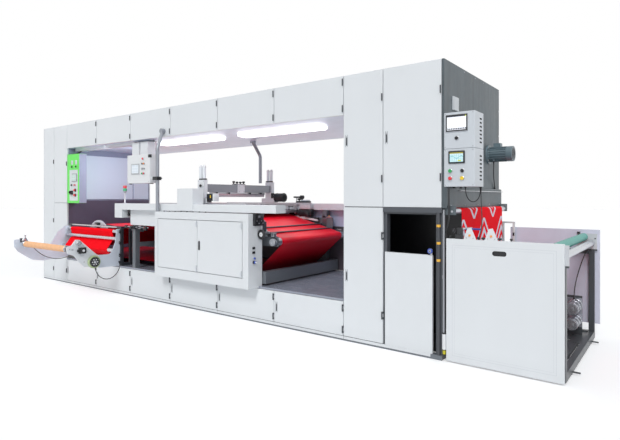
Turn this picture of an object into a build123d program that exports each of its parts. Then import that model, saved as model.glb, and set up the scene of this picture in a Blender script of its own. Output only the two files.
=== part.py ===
from build123d import *
import math
import os

# Roll-to-roll screen printing machine. Millimetres, +X along the machine to the outfeed end,
# +Y away from the operator, +Z up. The origin is at floor level in the middle of the housing.

# Housing
BAY_PITCH = 900.0
BAY_COUNT = 6
TOWER_LEFT = 2585.0
TOWER_SEAM = 3020.0
TOWER_RIGHT = 3585.0
COLUMN_SEAM = -3250.0
LEFT_END = -3620.0
HALF_DEPTH = 790.0
HEIGHT = 2585.0
OPENING_BOTTOM = 405.0
OPENING_TOP = HEIGHT - 385.0
WAIST = 1306.0
BACK_LOW_TOP = WAIST - 44.0
OPENING_LEFT = TOWER_LEFT - BAY_COUNT * BAY_PITCH
BAY_SEAMS = [OPENING_LEFT + i * BAY_PITCH for i in range(BAY_COUNT + 1)]

# Sheet and frame sections
PANEL = 20.0
PANEL_GAP = 6.0
PANEL_SEAT = 5.0
EDGE_ROUND = 2.0
RAIL_HEIGHT = 40.0
RAIL_WIDTH = 60.0
POST = 60.0
BACK_POST = 30.0
DECK = 8.0
DECK_LIP = 20.0
DECK_LIP_THICK = 4.0
CORE_FACE = HALF_DEPTH - PANEL - PANEL_SEAT

# Door furniture
DOOR_CLEAR = 5.0
BARREL_R = 6.0
BARREL_LENGTH = 34.0
BARREL_STANDOFF = 8.5
BARREL_PLAY = 0.5
PIN_R = 3.0
PIN_FIT = 0.3
PIN_INSET = 8.0
HINGE_LEAF = 2.0
HINGE_LEAF_WIDTH = 26.0
LATCH_WIDTH = 26.0
LATCH_HEIGHT = 120.0
LATCH_PROUD = 2.5
LATCH_INSET = 22.0
LATCH_RIM = 6.0
BASE_DOOR_BOTTOM = RAIL_HEIGHT + PANEL_GAP
BASE_DOOR_TOP = OPENING_BOTTOM - DECK_LIP - DOOR_CLEAR
BASE_HINGE_INSET = 62.0
TOWER_DOOR_TOP = WAIST - DOOR_CLEAR
TOWER_HINGE_INSET = 260.0
TOWER_LATCH_Z = 640.0
FASCIA_BOTTOM = WAIST - 44.0

# Print cabinet
CABINET_LEFT = -215.0
CABINET_RIGHT = 1459.0
CABINET_FRONT = 959.0
CABINET_BACK = 735.0
CABINET_BOTTOM = 392.0
CABINET_TOP = 1215.0
CABINET_SHEET = 4.0
CABINET_DOOR_LEFT = -141.0
CABINET_DOOR_SPLIT = 618.0
CABINET_DOOR_RIGHT = 1369.0
CABINET_DOOR_BOTTOM = 510.0
CABINET_DOOR_TOP = 1122.0
CABINET_DOOR_THICK = 18.0
CABINET_DOOR_SEAT = 5.5
CABINET_HINGE_INSET = 42.0
PULL_LENGTH = 107.0
PULL_Z = 826.0

# Print station
TABLE_LEFT = -900.0
TABLE_RIGHT = 760.0
TABLE_TOP = 1165.0
TABLE_THICK = 40.0
TABLE_HALF_WIDTH = 640.0
NOSE_R = 20.0
LEG = 70.0
LEG_Y = 690.0
NEAR_LEG_Y = 755.0
LEG_LEFT = -930.0
LEG_RIGHT = 1330.0
CROSS_BEAM_X = 1470.0
CROSS_BEAM_BOTTOM = 425.0
CROSS_BEAM_TOP = 560.0
BEAM_LEFT = -1250.0
BEAM_RIGHT = 1800.0
BEAM_FRONT = 890.0
BEAM_BACK = 730.0
FAR_BEAM_IN = 670.0
FAR_BEAM_OUT = 730.0
BEAM_BOTTOM = 1225.0
BEAM_TOP = 1312.0
DROP_BOTTOM = 1110.0
DROP_WIDTH = 180.0
TALL_LEFT = 174.0
TALL_RIGHT = 467.0
TALL_TOP = 1506.0
RAIL_Y = 640.0
RAIL_HALF = 11.0
RAIL_LEFT = -560.0
RAIL_RIGHT = 1120.0
RAIL_BOTTOM = 1300.0
RAIL_TOP = 1322.0
SCREEN_LEFT = -420.0
SCREEN_RIGHT = 900.0
SCREEN_HALF = 585.0
SCREEN_BAR = 40.0
SCREEN_BOTTOM = 1186.0
SCREEN_HEIGHT = 32.0
SCREEN_MESH = 2.0
CARRIAGE_X = 345.0
CARRIAGE_LENGTH = 250.0
CARRIAGE_WIDTH = 90.0
SLIDE_FIT = 0.3
CARRIAGE_BOTTOM = RAIL_TOP + SLIDE_FIT
FOOT_HEIGHT = 60.0
BLADE_BAR_BOTTOM = 1465.0
BLADE_BAR_TOP = 1567.0
BLADE_BAR_THICK = 76.0
CYLINDER_BOTTOM = 1619.0
CYLINDER_TOP = 1790.0
CYLINDER_R = 22.0
CYLINDER_PITCH = 64.0

# Web and the rollers that lead it
WEB_WIDTH = 1200.0
WEB = 1.0
ROLLER_AIR = 0.6
ROLL_HALF_WIDTH = 655.0
JOURNAL_REACH = 30.0
JOURNAL_R = 12.0
OUTFEED_X = 1600.0
OUTFEED_Z = 897.0
OUTFEED_R = 45.0
TENSION_BARS_X = (1280.0, 1465.0)
TENSION_BAR_R = 9.0
RETURN_X = 1190.0
RETURN_Z = 530.0
RETURN_R = 36.0
INFEED_X = -1990.0
INFEED_Z = 948.0
INFEED_R = 30.0
LIFT_X = -1150.0
LIFT_Z = 945.0
LIFT_R = 30.0
WEB_DROP_Z = 640.0
SLOT_DEPTH = 40.0
SLOT_CLEAR = 12.0
CHEEK = 12.0
CHEEK_GAP = 6.0

# Unwinder, in front of the first two bays
UNWIND_LEFT = -2720.0
UNWIND_RIGHT = -1290.0
UNWIND_PLATE = 12.0
UNWIND_POST = 34.0
CORE_Y = -1500.0
CORE_Z = 698.0
CORE_R = 44.0
CORE_LEFT = -2610.0
CORE_RIGHT = -1410.0
CHUCK_R = 36.0
CHUCK_LENGTH = 60.0
SHAFT_R = 14.0
SHAFT_FIT = 0.3
GUIDE_R = 26.0
GUIDES = ((-805.0, 900.0), (-836.0, 800.0), (-890.0, 638.0), (-828.0, 520.0))
BRAKE_Y = -1207.0
BRAKE_Z = 509.0
BRAKE_R = 68.0
BRAKE_DEPTH = 46.0
BRAKE_HOLES = 6
ARM_THICK = 24.0
ARM_FACE = UNWIND_RIGHT + UNWIND_PLATE
DISC_R = 318.0
DISC_Z = 727.0

# Rewinder
WIND_LEFT = 3625.0
WIND_RIGHT = 4530.0
WIND_FAR_LEFT = 3734.0
WIND_FAR_RIGHT = 4577.0
WIND_TOP = 1048.0
WIND_FAR_TOP = 1076.0
WIND_HALF = 790.0
WIND_PANEL = 30.0
WIND_BOTTOM = 12.0
WIND_CHANNEL = 66.0
WIND_POST = 50.0
WIND_FOOT = 16.0
WIND_BEARING = 24.0
DRIVE_X = 4440.0
DRIVE_Z = 1003.0
DRIVE_R = 38.0
NIP_X = 4505.0
NIP_Z = 947.0
NIP_R = 30.0
NIP_JOURNAL_R = 10.0

# End face of the tower
END_SHEET = 20.0
HOOD_TOP = WAIST + 178.0
HOOD_DEPTH = 46.0
HOOD_ROLLER_R = 24.0
HOOD_ROLLER_Z = WAIST - 30.0
HOOD_ROLLER_X = TOWER_RIGHT + 80.0
HOOD_JOURNAL_R = 9.0
BOX_LEFT = TOWER_RIGHT + END_SHEET
BOX_RIGHT = 3866.0
BOX_FRONT = 788.0
BOX_DEPTH = 228.0
BOX_BOTTOM = HOOD_TOP + 3.0
BOX_SPLIT = BOX_BOTTOM + 319.0
BOX_TOP = BOX_BOTTOM + 625.0
LOUVRES = 7
LOUVRE_PITCH = 33.0
MOTOR_Y = 420.0
MOTOR_Z = HOOD_TOP + 358.0
MOTOR_R = 70.0
MOTOR_FINS = 20

# Fittings under the dryer
PENDANT_X = -189.0
PENDANT_Y = -932.0
TUBE_R = 23.0
TUBE_BEND = 90.0
REAR_TUBE_X = 360.0
REAR_TUBE_Y = 420.0
REAR_TUBE_BOTTOM = 1600.0
CLAMP_HALF = 34.0
HMI_LEFT = -790.0
HMI_RIGHT = -285.0
HMI_BOTTOM = 1583.0
HMI_TOP = 1962.0
HMI_DEPTH = 110.0
HMI_FRONT = 985.0
SIGNAL_X = -1056.0
SIGNAL_Y = -850.0
LIGHT_DROP = 40.0
LIGHT_LEFTS = (-900.0, 760.0)
PANEL_TOP_GAP = 104.0
WALL_COVER_TOP_GAP = 96.0
JUNCTION_LOW_GAP = 215.0
JUNCTION_TOP_GAP = 28.0
LIGHT_LENGTH = 1250.0
SCREEN_PROUD = 8.0

# Buttons, as the X and Z of each on its box's front
END_BUTTONS = ((3662, BOX_BOTTOM + 131), (3764, BOX_BOTTOM + 131), (3662, BOX_BOTTOM + 69),
               (3764, BOX_BOTTOM + 69), (3716, BOX_SPLIT + 87))
HMI_BUTTONS = ((-425, 1905), (-440, 1840), (-400, 1840), (-440, 1775), (-400, 1775), (-440, 1712), (-400, 1712))

# Free cables, as the corners of their routes
UNWIND_CABLE = [(-2719.7, -1420, 668), (-2630, -1421, 664), (-2530, -1424, 634), (-2420, -1428, 596),
                (-2300, -1430, 562), (-2180, -1429, 540), (-2060, -1426, 528), (-1940, -1424, 525),
                (-1820, -1423, 530), (-1710, -1422, 545), (-1600, -1421, 567), (-1501.2, -1420, 590)]
BRAKE_CABLE = [(-1231, -1196, 431), (-1231, -1190, 398), (-1230, -1172, 350), (-1228, -1135, 300),
               (-1225, -1078, 260), (-1221, -1010, 246), (-1217, -945, 262), (-1216, -890, 300),
               (-1222, -848, 352), (-1234, -822, 392), (-1250, -808, 424), (-1261, -804, 450)]
BOX_CABLE = [(3745, -660, 1486.8), (3745.5, -659, 1455), (3750, -654, 1416), (3763, -642, 1380),
             (3785, -622, 1358), (3809, -601, 1360), (3829, -584, 1382), (3840, -574, 1418),
             (3843, -571.5, 1455), (3843, -571, 1486.8)]
GUIDE_CABLE = [(3858, -600, 1486.8), (3858, -601, 1440), (3862, -612, 1376), (3872, -634, 1306),
               (3886, -664, 1238), (3898, -700, 1178), (3903, -738, 1128), (3900, -764, 1086),
               (3894, -772, 1049.1)]
MOTOR_CABLE = [(3670, 380, 1769.2), (3669, 385, 1735), (3663, 402, 1690), (3652, 434, 1644),
               (3640, 478, 1606), (3629, 526, 1576), (3620, 568, 1548), (3615, 592, 1518),
               (3614.5, 600, 1485.3)]
REWINDER_CABLE = [(4470, 708.3, 859.5), (4466, 684, 852), (4458, 652, 828), (4446, 622, 786),
                  (4432, 592, 732), (4418, 560, 668), (4406, 528, 600), (4398, 500, 534),
                  (4395, 482, 474), (4395, 474, 420.8)]
CABLE_R = 5.0
THIN_CABLE_R = 4.0
GLAND_R = 9.0
CORD_AIR = 1.3


def block(x0, x1, y0, y1, z0, z1):
    """A plain block between two corners."""
    size = Box(abs(x1 - x0), abs(y1 - y0), abs(z1 - z0))
    return Pos((x0 + x1) / 2, (y0 + y1) / 2, (z0 + z1) / 2) * size


def bar_x(x0, x1, y, z, radius):
    """A round bar along X."""
    return Pos((x0 + x1) / 2, y, z) * Rot(0, 90, 0) * Cylinder(radius, abs(x1 - x0))


def bar_y(y0, y1, x, z, radius):
    """A round bar along Y."""
    return Pos(x, (y0 + y1) / 2, z) * Rot(90, 0, 0) * Cylinder(radius, abs(y1 - y0))


def bar_z(z0, z1, x, y, radius):
    """A round bar along Z."""
    return Pos(x, y, (z0 + z1) / 2) * Cylinder(radius, abs(z1 - z0))


def joined(parts):
    """All the parts in one shape, as one solid where they touch."""
    total = parts[0]
    for part in parts[1:]:
        total = total + part
    return total


def plate_yz(x0, thickness, points, rounds):
    """A plate in the YZ plane from its outline, with the numbered corners rounded."""
    outline = make_face(Polyline(*points, close=True))
    for index, radius in rounds:
        corner = Vector(*points[index])
        vertex = min(outline.vertices(), key=lambda v: (Vector(v.X, v.Y) - corner).length)
        outline = fillet(vertex, radius)
    return Plane((x0, 0, 0), x_dir=(0, 1, 0), z_dir=(1, 0, 0)) * extrude(outline, thickness)


def pipe(points, radii, radius):
    """A round bar that follows straight runs joined by tangent arcs."""
    path = FilletPolyline(*points, radius=radii)
    profile = Plane(origin=path.position_at(0), z_dir=path.tangent_at(0)) * Circle(radius)
    return sweep(profile, path=path)


def cord_radii(points):
    """The arc radius at each corner of a cable's route."""
    radii = []
    for before, corner, after in zip(points, points[1:], points[2:]):
        run_in = Vector(*corner) - Vector(*before)
        run_out = Vector(*after) - Vector(*corner)
        turn = math.radians(run_in.get_angle(run_out))
        radii.append(0.45 * min(run_in.length, run_out.length) / math.tan(turn / 2))
    return radii


def cord(name, points, radius):
    """The solid of a free cable, with a printed line of its length, radii and volume."""
    radii = cord_radii(points)
    solid = pipe(points, radii, radius)
    length = FilletPolyline(*points, radius=radii).length
    ratio = solid.volume / (math.pi * radius * radius * length)
    print(name, "length", round(length), "radii", [round(r) for r in radii], "volume ratio", round(ratio, 4))
    return solid


def tangent_points(circle_a, circle_b):
    """Where the web leaves one roller and meets the next; a circle is (u, v, radius, sense)."""
    (ua, va, ra, sa), (ub, vb, rb, sb) = circle_a, circle_b
    gap = math.hypot(ub - ua, vb - va)
    eu, ev = (ub - ua) / gap, (vb - va) / gap
    lean = (sa * ra - sb * rb) / gap
    side = math.sqrt(1 - lean * lean)
    nu, nv = lean * eu + side * ev, lean * ev - side * eu
    return (ua + sa * ra * nu, va + sa * ra * nv), (ub + sb * rb * nu, vb + sb * rb * nv)


def web_line(circles):
    """The web's line round a row of rollers: straight runs and the arcs between them."""
    runs = [tangent_points(a, b) for a, b in zip(circles, circles[1:])]
    edges = [Line(*runs[0])]
    for before, after, (u, v, radius, sense) in zip(runs, runs[1:], circles[1:]):
        start = math.atan2(before[1][1] - v, before[1][0] - u)
        end = math.atan2(after[0][1] - v, after[0][0] - u)
        half = sense * ((sense * (end - start)) % (2 * math.pi)) / 2
        middle = (u + radius * math.cos(start + half), v + radius * math.sin(start + half))
        edges += [ThreePointArc(before[1], middle, after[0]), Line(*after)]
    return edges


def web_across_y(circles):
    """A run of web of full width across the machine, its line given in X and Z."""
    strip = trace(web_line(circles), line_width=WEB)
    plane = Plane((0, WEB_WIDTH / 2, 0), x_dir=(1, 0, 0), z_dir=(0, -1, 0))
    return plane * extrude(strip, WEB_WIDTH)


def web_across_x(circles, x0):
    """A run of web of full width along the machine, its line given in Y and Z."""
    strip = trace(web_line(circles), line_width=WEB)
    return Plane((x0, 0, 0), x_dir=(0, 1, 0), z_dir=(1, 0, 0)) * extrude(strip, WEB_WIDTH)


def panel(x0, x1, side, z0, z1):
    """A panel on the housing's front (side -1) or back (side 1), its outer edges eased."""
    sheet = block(x0, x1, side * HALF_DEPTH, side * CORE_FACE, z0, z1)
    outer = sheet.faces().sort_by(Axis.Y)[0 if side < 0 else -1]
    return fillet(outer.edges(), EDGE_ROUND)


def hinge_heights(z0, z1, inset):
    """The two heights at which a door's hinges stand."""
    return (z0 + inset, z1 - inset)


def latch(x, y_face, z):
    """A flush pull that stands a little proud of a door's face."""
    half = LATCH_HEIGHT / 2
    body = block(x, x + LATCH_WIDTH, y_face - LATCH_PROUD, y_face, z - half, z + half)
    grip = block(x + LATCH_RIM, x + LATCH_WIDTH - LATCH_RIM, y_face - LATCH_PROUD, y_face - LATCH_PROUD / 2,
                 z - half + 2 * LATCH_RIM, z + half - 2 * LATCH_RIM)
    return body - grip


def leaf_hinge(x_seam, y_face, z, half):
    """A door's half of one hinge: the barrel and the plate that holds it on the leaf."""
    x_pin = x_seam - PIN_INSET
    pivot_y = y_face - BARREL_STANDOFF
    barrel = bar_z(z - half, z + half, x_pin, pivot_y, BARREL_R)
    web = block(x_pin - 1, x_pin + 1, pivot_y, y_face, z - half, z + half)
    plate = block(x_pin - HINGE_LEAF_WIDTH, x_pin + 1, y_face - HINGE_LEAF, y_face, z - half, z + half)
    return barrel + web + plate


def pin_bore(x_seam, y_face, z, half):
    """The bore through a turning barrel for its pin."""
    return bar_z(z - half - 1, z + half + 1, x_seam - PIN_INSET, y_face - BARREL_STANDOFF, PIN_R + PIN_FIT)


def hinged_door(x0, x_seam, y_face, z0, z1, thickness, inset):
    """A door leaf with the barrels that turn on the pins near its right-hand seam."""
    leaf = block(x0, x_seam - PANEL_GAP / 2, y_face, y_face + thickness, z0, z1)
    leaf = fillet(leaf.faces().sort_by(Axis.Y)[0].edges(), EDGE_ROUND)
    for z in hinge_heights(z0, z1, inset):
        leaf += leaf_hinge(x_seam, y_face, z, BARREL_LENGTH / 2)
        leaf -= pin_bore(x_seam, y_face, z, BARREL_LENGTH / 2)
    return leaf


def fixed_barrels(x_seam, y_face, y_root, z0, z1, inset):
    """The frame's halves of a door's hinges: the pins and the barrels above and below the turning ones."""
    x_pin = x_seam - PIN_INSET
    pivot_y = y_face - BARREL_STANDOFF
    half = BARREL_LENGTH / 2
    parts = []
    for z in hinge_heights(z0, z1, inset):
        hinge = bar_z(z - 2 * half, z + 2 * half, x_pin, pivot_y, PIN_R)
        for sign in (-1, 1):
            za, zb = z + sign * (half + BARREL_PLAY), z + sign * (2 * half + BARREL_PLAY)
            hinge += block(x_pin, x_seam + 1, pivot_y - 1, pivot_y + 1, za, zb)
            hinge += bar_z(min(za, zb), max(za, zb), x_pin, pivot_y, BARREL_R)
            hinge += block(x_seam - 1, x_seam + 1, pivot_y - 1, y_root, za, zb)
        parts.append(hinge)
    return parts


def base_frame():
    """Floor rails, posts and the ring under the deck, with the low doors' fixed hinge halves."""
    left = LEFT_END + EDGE_ROUND
    inner = HALF_DEPTH - RAIL_WIDTH
    half = RAIL_WIDTH / 2
    ring_top = OPENING_BOTTOM - DECK
    parts = []
    for side in (-1, 1):
        parts.append(block(left, TOWER_RIGHT, side * (HALF_DEPTH - EDGE_ROUND), side * inner, 0, RAIL_HEIGHT))
        parts.append(block(OPENING_LEFT, TOWER_LEFT, side * CORE_FACE, side * (CORE_FACE - POST),
                           ring_top - POST, ring_top))
    for x in [left + half, COLUMN_SEAM, TOWER_SEAM, TOWER_RIGHT - half, 0.0] + BAY_SEAMS:
        parts.append(block(x - half, x + half, -inner, inner, 0, RAIL_HEIGHT))
    for seam in BAY_SEAMS[1:-1]:
        for side in (-1, 1):
            parts.append(block(seam - half, seam + half, side * CORE_FACE, side * (CORE_FACE - POST),
                               RAIL_HEIGHT, ring_top))
        parts.append(block(seam - half, seam + half, -CORE_FACE, CORE_FACE, ring_top - POST, ring_top))
        parts += fixed_barrels(seam, -HALF_DEPTH, -CORE_FACE, BASE_DOOR_BOTTOM, BASE_DOOR_TOP, BASE_HINGE_INSET)
    return joined(parts)


def deck_plate():
    """The floor of the printing bays, with its folded front and back lips."""
    edge = HALF_DEPTH - 1
    deck = block(OPENING_LEFT, TOWER_LEFT, -edge, edge, OPENING_BOTTOM - DECK, OPENING_BOTTOM)
    for side in (-1, 1):
        deck += block(OPENING_LEFT, TOWER_LEFT, side * edge, side * (edge - DECK_LIP_THICK),
                      OPENING_BOTTOM - DECK_LIP, OPENING_BOTTOM)
    return deck


def base_door(index):
    """One of the low access doors under the deck."""
    left = BAY_SEAMS[index] + PANEL_GAP / 2
    seam = BAY_SEAMS[index + 1]
    leaf = hinged_door(left, seam, -HALF_DEPTH, BASE_DOOR_BOTTOM, BASE_DOOR_TOP, PANEL, BASE_HINGE_INSET)
    return leaf + latch(left + LATCH_INSET, -HALF_DEPTH, (BASE_DOOR_BOTTOM + BASE_DOOR_TOP) / 2)


def left_cabinet():
    """The closed column at the infeed end, with the slot that takes the printed web in."""
    body = block(LEFT_END + PANEL, OPENING_LEFT, -CORE_FACE, CORE_FACE, RAIL_HEIGHT, HEIGHT - PANEL)
    slot_z = RETURN_Z - RETURN_R - ROLLER_AIR
    half = WEB_WIDTH / 2 + SLOT_CLEAR
    return body - block(OPENING_LEFT - SLOT_DEPTH, OPENING_LEFT + 1, -half, half,
                        slot_z - SLOT_CLEAR, slot_z + SLOT_CLEAR)


def left_cabinet_panels():
    """Cladding of the infeed column: front, back and end."""
    gap = PANEL_GAP / 2
    z0, z1 = RAIL_HEIGHT + gap, HEIGHT - gap
    parts = []
    for side in (-1, 1):
        parts.append(panel(LEFT_END + PANEL + gap, COLUMN_SEAM - gap, side, z0, z1))
        parts.append(panel(COLUMN_SEAM + gap, OPENING_LEFT - gap, side, z0, WAIST - gap))
        parts.append(panel(COLUMN_SEAM + gap, OPENING_LEFT - gap, side, WAIST + gap, z1))
    for y0, y1 in ((-HALF_DEPTH, -gap), (gap, HALF_DEPTH)):
        leaf = block(LEFT_END, LEFT_END + PANEL, y0, y1, z0, z1)
        parts.append(fillet(leaf.faces().sort_by(Axis.X)[0].edges(), EDGE_ROUND))
    return Compound(children=parts)


def dryer_body():
    """The dryer tunnel over the opening and the closed upper half of the tower."""
    top = HEIGHT - PANEL
    return Compound(children=[block(OPENING_LEFT, TOWER_LEFT, -CORE_FACE, CORE_FACE, OPENING_TOP, top),
                              block(TOWER_LEFT, TOWER_RIGHT, -CORE_FACE, CORE_FACE, WAIST, top)])


def shut_door(x0, x_seam, z0, z1, inset):
    """An upper door that stays shut, with its hinges."""
    leaf = panel(x0 + PANEL_GAP / 2, x_seam - PANEL_GAP / 2, -1, z0, z1)
    for z in hinge_heights(z0, z1, inset):
        leaf += leaf_hinge(x_seam, -HALF_DEPTH, z, BARREL_LENGTH)
    return leaf


def upper_front_panels():
    """The upper doors over the opening and on the tower, with their hinges and latches."""
    top = HEIGHT - PANEL_GAP / 2
    parts = [shut_door(x0, x1, OPENING_TOP, top, BASE_HINGE_INSET) for x0, x1 in zip(BAY_SEAMS, BAY_SEAMS[1:])]
    for x0, x1 in ((TOWER_LEFT, TOWER_SEAM), (TOWER_SEAM, TOWER_RIGHT)):
        leaf = shut_door(x0, x1, WAIST + PANEL_GAP / 2, top, TOWER_HINGE_INSET)
        parts.append(leaf + latch(x0 + LATCH_INSET, -HALF_DEPTH, (WAIST + HEIGHT) / 2))
    return Compound(children=parts)


def back_panels():
    """Cladding of the back: over the opening, behind the bays, below the deck and on the tower."""
    gap = PANEL_GAP / 2
    parts = []
    for x0, x1 in zip(BAY_SEAMS, BAY_SEAMS[1:]):
        parts.append(panel(x0 + gap, x1 - gap, 1, OPENING_TOP, HEIGHT - gap))
        parts.append(panel(x0 + gap, x1 - gap, 1, OPENING_BOTTOM + gap, BACK_LOW_TOP))
        parts.append(panel(x0 + gap, x1 - gap, 1, BASE_DOOR_BOTTOM, BASE_DOOR_TOP))
    for x0, x1 in ((TOWER_LEFT, TOWER_SEAM), (TOWER_SEAM, TOWER_RIGHT)):
        parts.append(panel(x0 + gap, x1 - gap, 1, WAIST + gap, HEIGHT - gap))
        parts.append(panel(x0 + gap, x1 - gap, 1, BASE_DOOR_BOTTOM, WAIST - gap))
    return Compound(children=parts)


def back_rail():
    """The rail and posts that carry the low back wall."""
    y0, y1 = CORE_FACE - BACK_POST, CORE_FACE
    parts = [block(OPENING_LEFT, TOWER_LEFT, y0, y1, BACK_LOW_TOP - BACK_POST, BACK_LOW_TOP)]
    for seam in BAY_SEAMS[1:-1]:
        parts.append(block(seam - POST / 2, seam + POST / 2, y0, y1, OPENING_BOTTOM, BACK_LOW_TOP))
    return joined(parts)


def roof_panels():
    """Flat lids on the top of the housing."""
    gap = PANEL_GAP / 2
    seams = [LEFT_END + PANEL] + BAY_SEAMS + [TOWER_RIGHT]
    lids = [block(x0 + gap, x1 - gap, -CORE_FACE, CORE_FACE, HEIGHT - PANEL, HEIGHT)
            for x0, x1 in zip(seams, seams[1:])]
    return Compound(children=lids)


def tower_frame():
    """Posts and beams of the tower's open lower half, with the fixed hinge halves beside it."""
    parts = []
    for side in (-1, 1):
        y0, y1 = side * CORE_FACE, side * (CORE_FACE - POST)
        for x in (TOWER_LEFT, TOWER_SEAM - POST / 2, TOWER_RIGHT - POST):
            parts.append(block(x, x + POST, y0, y1, RAIL_HEIGHT, WAIST))
        parts.append(block(TOWER_LEFT, TOWER_RIGHT, y0, y1, WAIST - POST, WAIST))
    for x in (TOWER_LEFT, TOWER_RIGHT - POST):
        parts.append(block(x, x + POST, -CORE_FACE, CORE_FACE, WAIST - POST, WAIST))
    parts.append(block(TOWER_SEAM + PANEL_GAP / 2, TOWER_RIGHT, -HALF_DEPTH, -CORE_FACE, FASCIA_BOTTOM, WAIST))
    parts += fixed_barrels(TOWER_LEFT, -HALF_DEPTH, -CORE_FACE, BASE_DOOR_BOTTOM, BASE_DOOR_TOP, BASE_HINGE_INSET)
    parts += fixed_barrels(TOWER_SEAM, -HALF_DEPTH, -CORE_FACE, BASE_DOOR_BOTTOM, TOWER_DOOR_TOP,
                           TOWER_HINGE_INSET)
    return joined(parts)


def tower_lining():
    """The black inner walls of the tower's lower compartment."""
    wall = 4.0
    back_y = -150.0
    x0, x1 = TOWER_LEFT + 2, TOWER_RIGHT - 2
    inner = CORE_FACE - POST
    back = block(x0, x1, back_y, back_y + wall, RAIL_HEIGHT, WAIST - POST)
    left = block(x0, x0 + wall, -inner, inner, RAIL_HEIGHT, WAIST - POST)
    floor = block(x0, x1, -inner, back_y, RAIL_HEIGHT, RAIL_HEIGHT + wall)
    return back + left + floor


def tower_door():
    """The tall door of the tower's lower half."""
    left = TOWER_LEFT + PANEL_GAP / 2
    leaf = hinged_door(left, TOWER_SEAM, -HALF_DEPTH, BASE_DOOR_BOTTOM, TOWER_DOOR_TOP, PANEL, TOWER_HINGE_INSET)
    return leaf + latch(left + LATCH_INSET, -HALF_DEPTH, TOWER_LATCH_Z)


def drop_panel():
    """The half panel at the foot of the open bay, with the knob that holds it."""
    x0, x1 = TOWER_SEAM + 20, 3500.0
    z0, z1 = RAIL_HEIGHT + 2, 896.0
    sheet = block(x0, x1, -HALF_DEPTH, -CORE_FACE, z0, z1)
    sheet = fillet(sheet.faces().sort_by(Axis.Y)[0].edges(), EDGE_ROUND)
    ear = block(x1 - 22, x1 - 2, -HALF_DEPTH + 6, -HALF_DEPTH + 10, z1 - 4, z1 + 50)
    knob = bar_y(-HALF_DEPTH - 12, -HALF_DEPTH + 6, x1 - 12, z1 + 36, 13.0)
    return sheet + ear + knob


def end_sheet():
    """The bare steel end of the tower, the hood over the web's way out and the roller's cheeks."""
    x0 = TOWER_RIGHT
    edge = HALF_DEPTH - 6
    hood = block(x0, x0 + HOOD_DEPTH, -edge, edge, WAIST, HOOD_TOP)
    hood = chamfer(hood.edges().filter_by(Axis.Y).group_by(Axis.Z)[-1].sort_by(Axis.X)[-1], 8.0)
    parts = [block(x0, x0 + END_SHEET, -edge, edge, HOOD_TOP, HEIGHT - 2), hood]
    parts.append(block(x0 + END_SHEET, x0 + END_SHEET + 12, -600, -470, BOX_TOP + 58, BOX_TOP + 178))
    for side in (-1, 1):
        y0, y1 = side * (HALF_DEPTH - 34), side * (HALF_DEPTH - 28)
        cheek = block(x0 + 2, HOOD_ROLLER_X + 34, y0, y1, HOOD_ROLLER_Z - 30, WAIST + 20)
        parts.append(cheek - bar_y(-HALF_DEPTH, HALF_DEPTH, HOOD_ROLLER_X, HOOD_ROLLER_Z,
                                   HOOD_JOURNAL_R + SHAFT_FIT))
    return joined(parts)


def hood_roller():
    """The steel roller at the web's way out."""
    y_body, y_end = HALF_DEPTH - 44, HALF_DEPTH - 26
    body = bar_y(-y_body, y_body, HOOD_ROLLER_X, HOOD_ROLLER_Z, HOOD_ROLLER_R)
    return body + bar_y(-y_end, y_end, HOOD_ROLLER_X, HOOD_ROLLER_Z, HOOD_JOURNAL_R)


def end_motor():
    """The fan motor on the end sheet: flange, finned body, fan cover, terminal box and gland."""
    x0 = TOWER_RIGHT + END_SHEET
    motor = bar_x(x0, x0 + 14, MOTOR_Y, MOTOR_Z, MOTOR_R + 30)
    motor += bar_x(x0 + 14, x0 + 190, MOTOR_Y, MOTOR_Z, MOTOR_R)
    motor += bar_x(x0 + 190, x0 + 250, MOTOR_Y, MOTOR_Z, MOTOR_R + 8)
    for i in range(MOTOR_FINS):
        fin = Pos(0, MOTOR_R + 2, 0) * Box(168, 12, 3)
        motor += Pos(x0 + 102, MOTOR_Y, MOTOR_Z) * Rot(360 / MOTOR_FINS * i, 0, 0) * fin
    motor += block(x0 + 60, x0 + 130, MOTOR_Y - 34, MOTOR_Y + 34, MOTOR_Z + MOTOR_R - 4, MOTOR_Z + MOTOR_R + 42)
    x, y, z = MOTOR_CABLE[0]
    return motor + bar_z(z + CORD_AIR, z + 40, x, y, GLAND_R)


def control_boxes():
    """The two operator boxes on the end of the tower, with louvres on their outer sides."""
    y0, y1 = -BOX_FRONT, -BOX_FRONT + BOX_DEPTH
    boxes = block(BOX_LEFT + 20, BOX_RIGHT - 20, y0 + 20, y1 - 20, BOX_SPLIT - 4, BOX_SPLIT + 4)
    for z0, z1 in ((BOX_BOTTOM, BOX_SPLIT - 1.5), (BOX_SPLIT + 1.5, BOX_TOP)):
        box = fillet(block(BOX_LEFT, BOX_RIGHT, y0, y1, z0, z1).edges().filter_by(Axis.Z), 5.0)
        for i in range(LOUVRES):
            z = (z0 + z1) / 2 + LOUVRE_PITCH * (i - (LOUVRES - 1) / 2)
            box -= block(BOX_RIGHT - 8, BOX_RIGHT + 1, y1 - 100, y1 - 45, z - 7, z + 7)
        boxes += box
    return boxes


def touch_screen(x0, x1, y_face, z0, z1):
    """A screen's frame, proud of its box and round at the corners."""
    slab = block(x0, x1, y_face - SCREEN_PROUD, y_face, z0, z1)
    return fillet(slab.edges().filter_by(Axis.Y), 6.0)


def control_screens():
    """The two touch screens of the end boxes and the one of the hanging box."""
    return Compound(children=[touch_screen(3622, 3812, -BOX_FRONT, BOX_TOP - 164, BOX_TOP - 20),
                              touch_screen(3646, 3786, -BOX_FRONT, BOX_SPLIT - 126, BOX_SPLIT - 20),
                              touch_screen(-690, -500, -HMI_FRONT, 1700, 1845)])


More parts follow.
